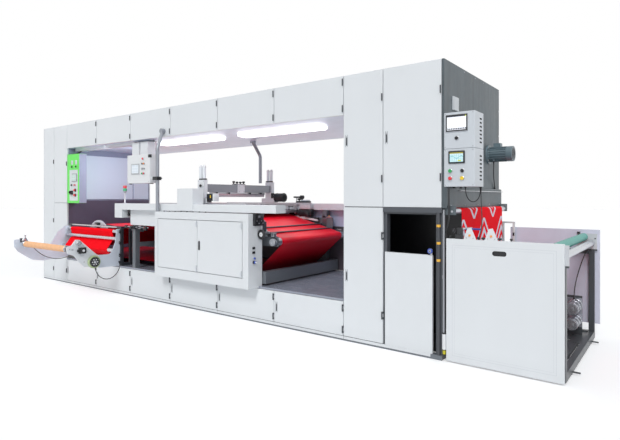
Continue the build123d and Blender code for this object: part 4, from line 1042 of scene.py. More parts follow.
@dataclass
class Cables:
    """The machine's six free cables."""

    thick: float = 0.005
    thin: float = 0.004

    def build(self) -> None:
        """Make every cable on its route."""
        unwind = [
            (-2.7197, -1.42, 0.668), (-2.63, -1.421, 0.664), (-2.53, -1.424, 0.634),
            (-2.42, -1.428, 0.596), (-2.3, -1.43, 0.562), (-2.18, -1.429, 0.54), (-2.06, -1.426, 0.528),
            (-1.94, -1.424, 0.525), (-1.82, -1.423, 0.53), (-1.71, -1.422, 0.545), (-1.6, -1.421, 0.567),
            (-1.5012, -1.42, 0.59)]
        brake = [
            (-1.231, -1.196, 0.431), (-1.231, -1.19, 0.398), (-1.23, -1.172, 0.35), (-1.228, -1.135, 0.3),
            (-1.225, -1.078, 0.26), (-1.221, -1.01, 0.246), (-1.217, -0.945, 0.262), (-1.216, -0.89, 0.3),
            (-1.222, -0.848, 0.352), (-1.234, -0.822, 0.392), (-1.25, -0.808, 0.424),
            (-1.261, -0.804, 0.45)]
        box = [
            (3.745, -0.66, 1.4868), (3.7455, -0.659, 1.455), (3.75, -0.654, 1.416), (3.763, -0.642, 1.38),
            (3.785, -0.622, 1.358), (3.809, -0.601, 1.36), (3.829, -0.584, 1.382), (3.84, -0.574, 1.418),
            (3.843, -0.5715, 1.455), (3.843, -0.571, 1.4868)]
        guide = [
            (3.858, -0.6, 1.4868), (3.858, -0.601, 1.44), (3.862, -0.612, 1.376), (3.872, -0.634, 1.306),
            (3.886, -0.664, 1.238), (3.898, -0.7, 1.178), (3.903, -0.738, 1.128), (3.9, -0.764, 1.086),
            (3.894, -0.772, 1.0491)]
        motor = [
            (3.67, 0.38, 1.7692), (3.669, 0.385, 1.735), (3.663, 0.402, 1.69), (3.652, 0.434, 1.644),
            (3.64, 0.478, 1.606), (3.629, 0.526, 1.576), (3.62, 0.568, 1.548), (3.615, 0.592, 1.518),
            (3.6145, 0.6, 1.4853)]
        rewinder = [
            (4.47, 0.7083, 0.8595), (4.466, 0.684, 0.852), (4.458, 0.652, 0.828), (4.446, 0.622, 0.786),
            (4.432, 0.592, 0.732), (4.418, 0.56, 0.668), (4.406, 0.528, 0.6), (4.398, 0.5, 0.534),
            (4.395, 0.482, 0.474), (4.395, 0.474, 0.4208)]
        for node, route, radius, length in (("unwind_cable", unwind, self.thick, 1.242),
                                            ("brake_cable", brake, self.thick, 0.599),
                                            ("box_cable", box, self.thin, 0.319),
                                            ("guide_cable", guide, self.thin, 0.482),
                                            ("motor_cable", motor, self.thick, 0.379),
                                            ("rewinder_cable", rewinder, self.thick, 0.52)):
            Cable(node, route, radius, length).build()


@dataclass
class Housing(SubAssembly):
    """Frame, cladding and doors of the machine's long body."""

    face: float = -0.79
    left: float = -3.618
    right: float = 3.583
    first_seam: float = -2.815
    pitch: float = 0.9
    seam_gap: float = 0.0015
    pull_x: float = 0.025
    pull_width: float = 0.026
    pull_half: float = 0.06
    low_pull_z: float = 0.213
    tower_seams: Pair = (2.585, 3.02)
    tower_pull_z: float = 0.64
    upper_pull_z: float = 1.9455
    cover_hinges: tuple[Pair, ...] = ((-3.259, 2.0), (-3.259, 1.01), (-2.824, 1.95),
                                                     (-3.259, 0.2), (-2.824, 0.2))
    drop_knob: Point = (3.488, -0.8, 0.932)

    def finish_nodes(self) -> None:
        """Finish the frame, the cladding and the doors."""
        doors = [f"base_door_{number}" for number in range(1, 7)]
        self.dress(DOOR_PAINT, *doors, "tower_door", "upper_front_panels")
        self.dress(PANEL_PAINT, "left_cabinet_panels", "roof_panels", "cable_tray", "drop_panel")
        self.dress(FRAME_PAINT, "back_rail")
        self.dress(BLACK_PAINT, "tower_lining")
        cover = PowderCoat("cover_paint", srgb("d4dcec"))
        self.dress(cover, "inner_wall_panels")
        deck = PowderCoat("deck_paint", srgb("9297a4"), 0.26, metallic=0.15, coat=0.3)
        self.dress(deck, "deck_plate")
        # Painted shade on the back wall's inner face: a lavender grey on its upper part, and a dark patch
        # below 1.0 m where it lies in shadow.
        back_wall_shade = (Patch((-2.9, 0.76, 0.38), (2.6, 0.7655, 1.3), srgb("cccce6")),
                 Patch((-2.9, 0.76, 0.38), (1.64, 0.7655, 1.0), srgb("5c545c"), 0.5))
        back = PowderCoat("back_wall_paint", PANEL_COLOUR, patches=back_wall_shade)
        self.dress(back, "back_panels")
        leaves = Patch((-9.0, -0.83, 0.03), (9.0, -0.7906, 3.0), PANEL_COLOUR, 0.35)
        for name, grey, node in (("rail_paint", srgb("70767d"), "base_frame"),
                                 ("tower_paint", srgb("4e5258"), "tower_frame")):
            self.dress(PowderCoat(name, grey, 0.4, coat=0.1, patches=(leaves, BARRELS)), node)
        # Painted shade on the column's inner side wall: dark purple below 1.345 m where it lies in shadow,
        # lavender grey above.
        column_wall_shade = (Patch((-2.8165, -0.78, 0.4), (-2.8, 0.78, 1.345), srgb("5a5062"), 0.5),
                 Patch((-2.8165, -0.78, 1.345), (-2.8, 0.78, 2.2), srgb("8c92aa"), 0.5))
        self.dress(PowderCoat("column_paint", srgb("80848c"), 0.4, coat=0.0, patches=column_wall_shade), "left_cabinet")
        # Painted light: the dryer's underside over the opening is made near white and bluish for the light of
        # the ceiling lamps.
        ceiling = Patch((-2.9, -0.77, 2.19), (2.584, 0.77, 2.2005), srgb("d8e2f6"), 0.3)
        self.dress(PowderCoat("dryer_paint", srgb("80858c"), 0.4, coat=0.0, patches=(ceiling,)), "dryer_body")

    def build(self) -> None:
        """Make the pulls, the hinges, the knob and the kick strip of the housing."""
        for index in range(6):
            body = "housing" if index == 1 else f"low_door_{index + 1}"
            seam = self.first_seam + self.pitch * index
            self._pull(f"low_door_{index + 1}_pull", seam, self.low_pull_z, body)
        tower_left, tower_right = self.tower_seams
        self._pull("tall_door_pull", tower_left, self.tower_pull_z, "tall_door")
        self._pull("upper_door_pull_left", tower_left, self.upper_pull_z, "housing")
        self._pull("upper_door_pull_right", tower_right, self.upper_pull_z, "housing")
        self._column_hinges()
        self._drop_knob()
        self._kick_strip()

    def _pull(self, name: str, seam: float, height: float, body: str) -> None:
        """Make the rims, the cup and the key barrel of a flush pull.

        Args:
            name: Name of the piece.
            seam: Where the door's seam is in X.
            height: Height of the pull's middle.
            body: The CAD body that it rides on.
        """
        x0 = seam + self.pull_x
        x1 = x0 + self.pull_width
        z0, z1 = height - self.pull_half, height + self.pull_half
        cup_y = self.face - 0.0013
        shape = Shape(name, GREY_PLASTIC)
        for a, b in ((x0 + 0.0004, x0 + 0.0056), (x1 - 0.0056, x1 - 0.0004)):
            shape.block((a, self.face - 0.0045, z0 + 0.002), (b, self.face - 0.0022, z1 - 0.002), 0.0008)
        shape.use(DARK_PAINT)
        shape.block((x0 + 0.0065, self.face - 0.0034, z0 + 0.014), (x1 - 0.0065, cup_y, z1 - 0.03))
        shape.use(ZINC)
        barrel = [(0.0062, 0), (0.0062, 0.0018), (0.005, 0.0026), (0.0016, 0.0026), (0.0014, 0.001),
                  (0, 0.001)]
        shape.turned(barrel, ((x0 + x1) / 2, cup_y, z1 - 0.022), Y, 18, -1)
        shape.piece(Slot.BLACK, body)

    def _column_hinges(self) -> None:
        """Make the small hinges of the infeed column's covers."""
        half = [(0.0045, 0.011), (0.0045, 0.012), (0.006, 0.0125), (0.006, 0.0335), (0.005, 0.034)]
        lower = [(radius, -height) for radius, height in reversed(half)]
        barrel = lower + [(0.006, -0.0105), (0.006, 0.0105)] + half
        shape = Shape("column_hinges", BLACK_PAINT)
        for x, z in self.cover_hinges:
            shape.turned(barrel, (x, self.face - 0.0055, z), Z, 16)
            shape.block((x - 0.022, self.face - 0.0022, z - 0.032), (x + 0.004, self.face, z + 0.032), 0.0006)
        shape.piece(Slot.BLACK)

    def _kick_strip(self) -> None:
        """Make the painted strip that closes the floor rail's front under the doors."""
        spans = [(self.first_seam + self.pitch * index + self.seam_gap,
                  self.first_seam + self.pitch * (index + 1) - self.seam_gap) for index in range(7)]
        spans.append((self.left, self.first_seam - self.seam_gap))
        shape = Shape("kick_strip", PANEL_PAINT)
        for x0, x1 in spans:
            low = (x0, self.face - 0.0014, 0.016)
            shape.block(low, (min(x1, self.right), self.face + 0.0002, 0.0425), 0.0005, 1)
        shape.piece(Slot.WHITE)

    def _drop_knob(self) -> None:
        """Make the blue clamping knob on the half panel."""
        rim = [(0.0135, 0), (0.021, 0.001), (0.023, 0.004), (0.023, 0.012), (0.02, 0.015), (0.013, 0.016),
               (0.012, 0.0145)]
        insert = [(0.0118, 0), (0.0118, 0.0155), (0.01, 0.017), (0, 0.017)]
        x, y, z = self.drop_knob
        shape = Shape("drop_panel_knob", BLUE_CAP)
        shape.turned(rim, self.drop_knob, Y, 30, -1)
        shape.use(GREY_PLASTIC).turned(insert, self.drop_knob, Y, 24, -1)
        shape.use(BLACK_PLASTIC).screw((x, y - 0.017, z), Y, -1, 0.004)
        shape.piece(Slot.BUTTON)


@dataclass
class Fittings(SubAssembly):
    """Tubes, lights, signal stack and the lines at the tower's corner."""

    signal: Point = (-1.056, -0.85, 1.312)
    hose: Pair = (3.553, -0.7793)
    ring_heights: tuple[float, ...] = (0.854, 1.0025, 1.151)
    filter_axis: Pair = (3.603, -0.777)

    def finish_nodes(self) -> None:
        """Finish the tubes, the lights and the corner's lines."""
        clamp = (Patch((-0.26, -0.97, 1.6195), (-0.13, -0.89, 1.6645), JET),
                 Patch((-0.16, -0.945, 1.63), (-0.09, -0.92, 1.655), JET))
        tube = BrushedMetal("conduit_steel", srgb("969aa2"), 0.36, metallic=0.55, across=Z,
                            patches=clamp)
        self.dress(tube, "conduit_tubes")
        diffuser = Ribbed("light_diffuser", srgb("fafbff"), 0.4, glow=4.0, across=Y, pitch=0.008)
        self.dress(diffuser, "ceiling_lights")
        lines = (Patch((3.535, -0.81, 0), (3.57, -0.76, 1.3), srgb("46484d"), 0.6),
                 Patch((3.58, -0.8, 0.096), (3.6255, -0.74, 0.2365), srgb("e2e5e7"), 0.35),
                 Patch((3.58, -0.8, 0.05), (3.6255, -0.74, 0.0955), srgb("c4bc28"), 0.35),
                 Patch((3.584, -0.8, 0.237), (3.612, -0.765, 1.3), srgb("a0a3a8"), 0.35, 0.5))
        rubber = Rubber("corner_rubber", srgb("28292c"), 0.5, across=Z, patches=lines)
        self.dress(rubber, "corner_lines")

    def build(self) -> None:
        """Make the signal stack, the hose rings and the filter's collars and drain."""
        self._signal()
        self._hose_rings()
        self._filter_parts()

    def _hose_rings(self) -> None:
        """Make the coloured rings round the banded hose."""
        half = [(0.0175, 0.008), (0.0168, 0.0105), (0.0142, 0.011)]
        ring = [(radius, -height) for radius, height in reversed(half)] + half
        rings = Shape("hose_rings", Finish("ring_plastic", srgb("eeb63e"), 0.36, coat=0.2))
        for z in self.ring_heights:
            rings.turned(ring, (*self.hose, z), Z, 28)
        rings.piece(Slot.BUTTON)

    def _filter_parts(self) -> None:
        """Make the filter's two collars and its drain."""
        collar = [(0.0165, 0), (0.0192, 0.0012), (0.0192, 0.009), (0.0165, 0.0105)]
        nozzle = [(0.004, 0), (0.0058, 0.002), (0.0058, 0.008), (0.003, 0.012), (0.003, 0.018)]
        parts = Shape("filter_parts", BLACK_PLASTIC)
        parts.turned(collar, (*self.filter_axis, 0.231), Z, 26)
        parts.band((*self.filter_axis, 0.093), Z, 1, (0.0145, 0.0188), 0.008, segments=26)
        parts.turned(nozzle, (*self.filter_axis, 0.0415), Z, 16)
        parts.piece(Slot.BLACK)

    def _signal(self) -> None:
        """Make the two-lamp signal stack on its pole."""
        x, y, z = self.signal
        pole = [(0.024, 0), (0.024, 0.0045), (0.02, 0.0065), (0.012, 0.008), (0.009, 0.012), (0.009, 0.148)]
        cup = [(0.0095, 0.143), (0.013, 0.15), (0.024, 0.168), (0.0265, 0.172), (0.0265, 0.176), (0, 0.176)]
        crown = [(0.0255, 0.246), (0.0245, 0.2492), (0.021, 0.2512), (0, 0.252)]
        green = Ribbed("green_lens", srgb("2cb278"), 0.2, glow=0.12)
        red = Ribbed("red_lens", srgb("eb3e4a"), 0.2, glow=0.12)
        stack = Shape("signal_stack", ALUMINIUM)
        stack.turned(pole, self.signal, Z, 26)
        stack.use(GREY_PLASTIC).turned(cup, self.signal, Z, 30)
        for lens, low, pitch, radius in ((green, 0.176, 0.006, 0.0265), (red, 0.214, 0.032 / 6, 0.0255)):
            ribs = [(0.02, low)]
            for height in [low + pitch * rib for rib in range(6)]:
                ribs += [(radius - 0.0008, height + 0.0004), (radius, height + 0.0022),
                         (radius - 0.0008, height + 0.005)]
            stack.use(lens).turned(ribs + [(0.02, low + 6 * pitch)], self.signal, Z, 30)
        stack.turned(crown, self.signal, Z, 30)
        stack.use(ZINC)
        for spot in around((x, y, z + 0.0058), Z, 0.0185, 3, 0.4):
            stack.screw(spot, Z, 1, 0.0026)
        stack.piece(Slot.BUTTON, replaces=("signal_light",))


class ButtonKind(Enum):
    """The kinds of push button and switch."""

    PUSH = "push"
    SELECTOR = "selector"
    MUSHROOM = "mushroom"


@dataclass
class Button:
    """One button on the front of a box."""

    x: float
    z: float
    face: float
    cap: Finish
    kind: ButtonKind = ButtonKind.PUSH
    scale: float = 1.0

    def add_to(self, shape: Shape) -> None:
        """Add the button's ring, collar and cap to a shape.

        Args:
            shape: The shape that holds all the buttons.
        """
        place = (self.x, self.face, self.z)
        k = self.scale
        rings = ((ZINC, ((0.015, 0), (0.015, 0.0035), (0.0138, 0.005), (0.0118, 0.006), (0.0112, 0.003))),
                 (BLACK_PLASTIC, ((0.0112, 0.002), (0.0112, 0.0085), (0.0105, 0.009))))
        for finish, profile in rings:
            shape.use(finish).turned([(k * r, h) for r, h in profile], place, Y, 30, -1)
        shape.use(self.cap)
        if self.kind is ButtonKind.SELECTOR:
            shape.boss(place, Y, -1, 0.0104 * k, 0.0115, (0.0008 * k, 0.001), 28)
            shape.block((self.x - 0.0032 * k, self.face - 0.0178, self.z - 0.0098 * k),
                        (self.x + 0.0032 * k, self.face - 0.0105, self.z + 0.0098 * k), 0.0012)
            return
        wide = k * (0.0148 if self.kind is ButtonKind.MUSHROOM else 0.0122)
        neck = 0.0098 * k
        cap = [(neck, 0), (neck, 0.0105), (wide, 0.0115), (wide, 0.0145), (wide - 0.001, 0.0162),
               (wide - 0.004, 0.0174), (0, 0.018)]
        shape.turned(cap, place, Y, 28, -1)


@dataclass
class OperatorBoxes(SubAssembly):
    """The two operator boxes at the tower's end and the box that hangs over the print station."""

    end_face: float = -0.788
    end_scale: float = 1.3
    end_sides: Pair = (3.6165, 3.852)
    end_spans: tuple[Pair, ...] = ((1.487, 1.8045), (1.8075, 2.112))
    hanging_face: float = -0.985
    proud: float = 0.008
    border: float = 0.011

    def finish_nodes(self) -> None:
        """Finish the boxes, their screens' frames and the hanging box."""
        louvres = tuple(Patch((3.8572, -0.6612, z0), (3.8653, -0.6038, z1), srgb("1c1d20"), 0.6)
                        for z0, z1 in ((1.53, 1.765), (1.84, 2.08)))
        box = PowderCoat("box_paint", srgb("cad0d6"), 0.36, patches=louvres)
        self.dress(box, "control_boxes")
        self.dress(PowderCoat("hanging_box_paint", srgb("e0e3e5"), 0.36), "hmi_box")
        frames = (Patch((3.6, -0.8, 1.94), (3.82, -0.78, 2.1), srgb("c4c8cd")),
                  Patch((-0.7, -1.0, 1.69), (-0.49, -0.98, 1.86), srgb("ced1d4")))
        screen = Finish("screen_frame_plastic", srgb("2e3138"), 0.36, coat=0.15, patches=frames)
        self.dress(screen, "control_screens")

    def build(self) -> None:
        """Make the buttons, displays, screws and small parts of the boxes."""
        self._buttons()
        self._display("upper_display", (3.624, 3.81, 1.95, 2.09), self.end_face, srgb("eceff5"),
                      srgb("bec4d6"), Layout.KEYS)
        self._display("lower_display", (3.648, 3.784, 1.682, 1.784), self.end_face, srgb("c4dee2"),
                      srgb("58b0ba"), Layout.GRID)
        self._display("hanging_display", (-0.684, -0.506, 1.706, 1.839), self.hanging_face,
                      srgb("ced5db"), srgb("b0bcc8"), Layout.BARE)
        self._screws()
        self._catches()
        self._glands()

    def _buttons(self) -> None:
        """Make every button in one piece that stands for the CAD's buttons."""
        push, turn, mushroom = ButtonKind.PUSH, ButtonKind.SELECTOR, ButtonKind.MUSHROOM
        on_end = ((3.662, 1.618, GREEN_CAP, push), (3.764, 1.618, BLACK_PLASTIC, turn),
                  (3.662, 1.556, RED_CAP, push), (3.764, 1.556, YELLOW_CAP, push),
                  (3.716, 1.893, BLACK_PLASTIC, turn))
        on_hanging = ((-0.425, 1.905, RED_CAP, mushroom), (-0.44, 1.84, BLACK_PLASTIC, turn),
                      (-0.4, 1.84, ORANGE_CAP, push), (-0.44, 1.775, GREY_PLASTIC, push),
                      (-0.4, 1.775, GREY_PLASTIC, push), (-0.44, 1.712, GREEN_CAP, push),
                      (-0.4, 1.712, RED_CAP, push))
        shape = Shape("operator_buttons", ZINC)
        for x, z, cap, kind in on_end:
            Button(x, z, self.end_face, cap, kind, self.end_scale).add_to(shape)
        for x, z, cap, kind in on_hanging:
            Button(x, z, self.hanging_face, cap, kind).add_to(shape)
        shape.piece(Slot.BUTTON, replaces=("control_buttons",))

    def _display(self, name: str, window: tuple[float, float, float, float], face: float, ground: Colour,
                 tint: Colour, layout: Layout) -> None:
        """Make a lit display in its border.

        Args:
            name: Name of the piece.
            window: Left, right, bottom and top of the glass.
            face: Front of the box in Y.
            ground: Colour of the display's ground.
            tint: Colour of its fields.
            layout: What it shows.
        """
        x0, x1, z0, z1 = window
        y = face - self.proud
        frame = GREY_PLASTIC if layout is Layout.BARE else BLACK_PLASTIC
        low = (x0 + self.border, y - 0.0018, z0 + self.border)
        high = (x1 - self.border, y - 0.0008, z1 - self.border)
        glass = Display(name + "_glass", ground, 0.3, low=low, high=high, tint=tint, layout=layout)
        shape = Shape(name, frame).block((x0, y - 0.0012, z0), (x1, y + 0.0005, z1), 0.001)
        shape.use(glass).block(low, high, 0.0004, 1).piece(Slot.GLASS)

    def _screws(self) -> None:
        """Make the screws in the corners of the boxes' fronts."""
        screws = Shape("box_screws", ZINC)
        for z0, z1 in self.end_spans:
            for x in self.end_sides:
                for z in (z0 + 0.013, z1 - 0.013):
                    screws.screw((x, self.end_face, z), Y, -1, 0.0042)
        for x in (-0.772, -0.303):
            for z in (1.602, 1.944):
                screws.screw((x, self.hanging_face, z), Y, -1, 0.0045)
        screws.piece(Slot.STEEL)

    def _catches(self) -> None:
        """Make the black catches at the hanging box's corners."""
        catches = Shape("hanging_box_catches", BLACK_PLASTIC)
        for low, high in (((-0.318, -0.9885, 1.915), (-0.279, -0.955, 1.956)),
                          ((-0.796, -0.952, 1.572), (-0.772, -0.918, 1.59)),
                          ((-0.34, -0.952, 1.573), (-0.29, -0.918, 1.6))):
            catches.block(low, high, 0.004, 3)
        catches.piece(Slot.BLACK)

    def _glands(self) -> None:
        """Make the cable glands under the lower operator box."""
        profile = [(0, 0), (0.011, 0), (0.011, 0.008), (0.0125, 0.0085), (0.0125, 0.014)]
        glands = Shape("box_glands", BLACK_PLASTIC)
        for x, y in ((3.66, -0.7), (3.69, -0.62)):
            glands.turned(profile, (x, y, 1.473), Z, 18)
        glands.piece(Slot.RUBBER)


@dataclass
class InstrumentBoard(SubAssembly):
    """The bright board of meters and switches beside the unwinder."""

    face: float = -0.782
    plate: float = -0.785
    label_lefts: Pair = (-2.69, -2.566)
    button_x: float = -2.554
    ringed: Pair = (1.513, 1.432)

    def finish_nodes(self) -> None:
        """Finish the board."""
        plate = Patch((-2.745, -0.79, 1.34), (-2.48, -0.7824, 1.845), srgb("d6dcde"), 0.42)
        # Painted shade: the board's right side face is a darker lavender grey for the shade on that side.
        side = Patch((-2.4436, -0.7805, 1.3), (-2.44, -0.6, 2.1), srgb("969aae"))
        green = PowderCoat("board_green", srgb("68e85c"), 0.4, coat=0.15, patches=(plate, side))
        self.dress(green, "instrument_panel")

    def build(self) -> None:
        """Make the plates, the meter, the switches and the bracket of the board."""
        self._plates()
        self._meter()
        self._switches()
        self._bracket()

    def _plates(self) -> None:
        """Make the two ribbed plates with their knobs, and the board's screws."""
        shape = Shape("board_plates", WHITE_PLASTIC)
        for x in self.label_lefts:
            shape.use(WHITE_PLASTIC)
            shape.block((x, self.face - 0.003, 1.926), (x + 0.058, self.face, 1.992), 0.001)
            shape.use(GREY_PLASTIC)
            for z in (1.934, 1.948, 1.962, 1.976):
                low = (x + 0.008, self.face - 0.0042, z)
                shape.block(low, (x + 0.05, self.face - 0.0028, z + 0.006), 0.0005, 1)
            shape.use(BLACK_PLASTIC).knob((x + 0.03, self.face, 1.89), Y, -1, 0.013, 0.018)
        shape.use(ZINC)
        for x in (-2.8, -2.458):
            for z in (1.322, 2.08):
                shape.screw((x, self.face, z), Y, -1, 0.0045)
        shape.piece(Slot.BUTTON)

    def _meter(self) -> None:
        """Make the meter with its glass."""
        low, high = (-2.646, self.plate - 0.0135, 1.664), (-2.515, self.plate - 0.0118, 1.77)
        glass = Display("meter_glass", srgb("c4d6d0"), 0.2, low=low, high=high, glow=0.2,
                        tint=srgb("96aaa8"), accent=srgb("788c8c"))
        shape = Shape("board_meter", GREY_PLASTIC)
        shape.block((-2.656, self.plate - 0.012, 1.652), (-2.505, self.plate, 1.782), 0.004, 3)
        shape.use(glass).block(low, high, 0.0005, 1).piece(Slot.GLASS)

    def _switches(self) -> None:
        """Make the knob, the main switch and the red buttons."""
        shape = Shape("board_switches", BLACK_PLASTIC)
        shape.knob((-2.66, self.plate, 1.596), Y, -1, 0.014, 0.02)
        shape.block((-2.695, self.plate - 0.03, 1.442), (-2.628, self.plate, 1.505), 0.004, 3)
        shape.block((-2.676, self.plate - 0.05, 1.462), (-2.662, self.plate - 0.028, 1.498), 0.003)
        shape.use(RED_CAP)
        for z, wide in ((1.596, 0.011), (self.ringed[0], 0.019), (self.ringed[1], 0.019)):
            cap = [(0.6 * wide, 0), (0.6 * wide, 0.012), (wide, 0.015), (wide, 0.024), (0.8 * wide, 0.03),
                   (0, 0.031)]
            shape.turned(cap, (self.button_x, self.plate, z), Y, 24, -1)
        shape.use(BLACK_PLASTIC)
        for z in self.ringed:
            ring = [(0.026, 0), (0.026, 0.006), (0.022, 0.008), (0.014, 0.008)]
            shape.turned(ring, (self.button_x, self.plate, z), Y, 26, -1)
        shape.piece(Slot.BUTTON)

    def _bracket(self) -> None:
        """Make the bracket that holds the board at the ceiling."""
        outline = [(-0.7, 2.096), (-0.7, 2.12), (-0.62, 2.16), (-0.6, 2.16), (-0.66, 2.096)]
        shape = Shape("board_bracket", BLACK_PAINT)
        shape.cut(outline, X, -2.7, -2.688)
        shape.block((-2.72, -0.76, 2.0955), (-2.6, -0.68, 2.108), 0.002)
        shape.piece(Slot.BLACK)


@dataclass
class TowerEnd(SubAssembly):
    """The bare steel end of the tower with its motor and hood."""

    sheet: float = 3.605
    hood: float = 3.631
    motor: Pair = (0.42, 1.842)
    fan_cover: float = 3.8548
    flange: float = 3.619

    def finish_nodes(self) -> None:
        """Finish the end sheet, the motor and the roller."""
        plates = (Patch((3.6052, -0.605, 2.165), (3.62, -0.465, 2.295), srgb("ccd1d5")),
                  Patch((3.585, 0.75, 1.2), (3.7, 0.77, 1.33), srgb("787c80")))
        zinc = MottledSheet("end_sheet_zinc", srgb("5c656a"), 0.42, metallic=0.2, shine=0.35,
                            patches=plates)
        self.dress(zinc, "end_sheet")
        self.dress(MACHINE_STEEL, "hood_roller")
        self.dress(PowderCoat("motor_paint", srgb("687a82"), 0.36, coat=0.2), "end_motor")

    def build(self) -> None:
        """Make the motor's grille and bolts, the sheet's screws and the hood's lip."""
        self._motor_grille()
        self._sheet_screws()
        self._hood_lip()

    def _motor_grille(self) -> None:
        """Make the rings and spokes of the fan cover and the bolts of the motor's flange."""
        y, z = self.motor
        shape = Shape("motor_grille", DARK_PAINT)
        for radius in (0.016, 0.03, 0.044, 0.058):
            ring = [(radius, 0), (radius, 0.0022), (radius + 0.0045, 0.0022), (radius + 0.0045, 0)]
            shape.turned(ring, (self.fan_cover, y, z), X, 30)
        for spoke in range(6):
            turn = math.pi * spoke / 6
            dy, dz = 0.062 * math.cos(turn), 0.062 * math.sin(turn)
            ny, nz = 0.0016 * -math.sin(turn), 0.0016 * math.cos(turn)
            outline = [(y - dy + ny, z - dz + nz), (y - dy - ny, z - dz - nz), (y + dy - ny, z + dz - nz),
                       (y + dy + ny, z + dz + nz)]
            shape.cut(outline, X, self.fan_cover, self.fan_cover + 0.0016, 0.0002)
        shape.use(ZINC)
        for spot in around((self.flange, y, z), X, 0.086, 4, math.pi / 4):
            shape.boss(spot, X, 1, 0.0085, 0.007, (0.001, 0.001), 6)
        shape.piece(Slot.MOTOR)

    def _sheet_screws(self) -> None:
        """Make the screws of the end sheet and of the hood."""
        shape = Shape("end_sheet_screws", ZINC)
        for z in (1.53, 1.8, 2.07, 2.34, 2.56):
            shape.screw((self.sheet, 0.765, z), X, 1, 0.006)
        for y in (-0.3, 0, 0.25):
            shape.screw((self.sheet, y, 2.56), X, 1, 0.006)
        for y in (-0.7, -0.35, 0, 0.35, 0.7):
            shape.screw((self.hood, y, 1.325), X, 1, 0.0055)
        shape.piece(Slot.STEEL)

    def _hood_lip(self) -> None:
        """Make the folded lip along the hood's top."""
        outline = [(1.452, 3.6312), (1.459, 3.6312), (1.459, 3.646), (1.456, 3.648), (1.452, 3.648)]
        Shape("hood_lip", LIGHT_GREY_PAINT).cut(outline, Y, -0.5, 0.784).piece(Slot.GREY)


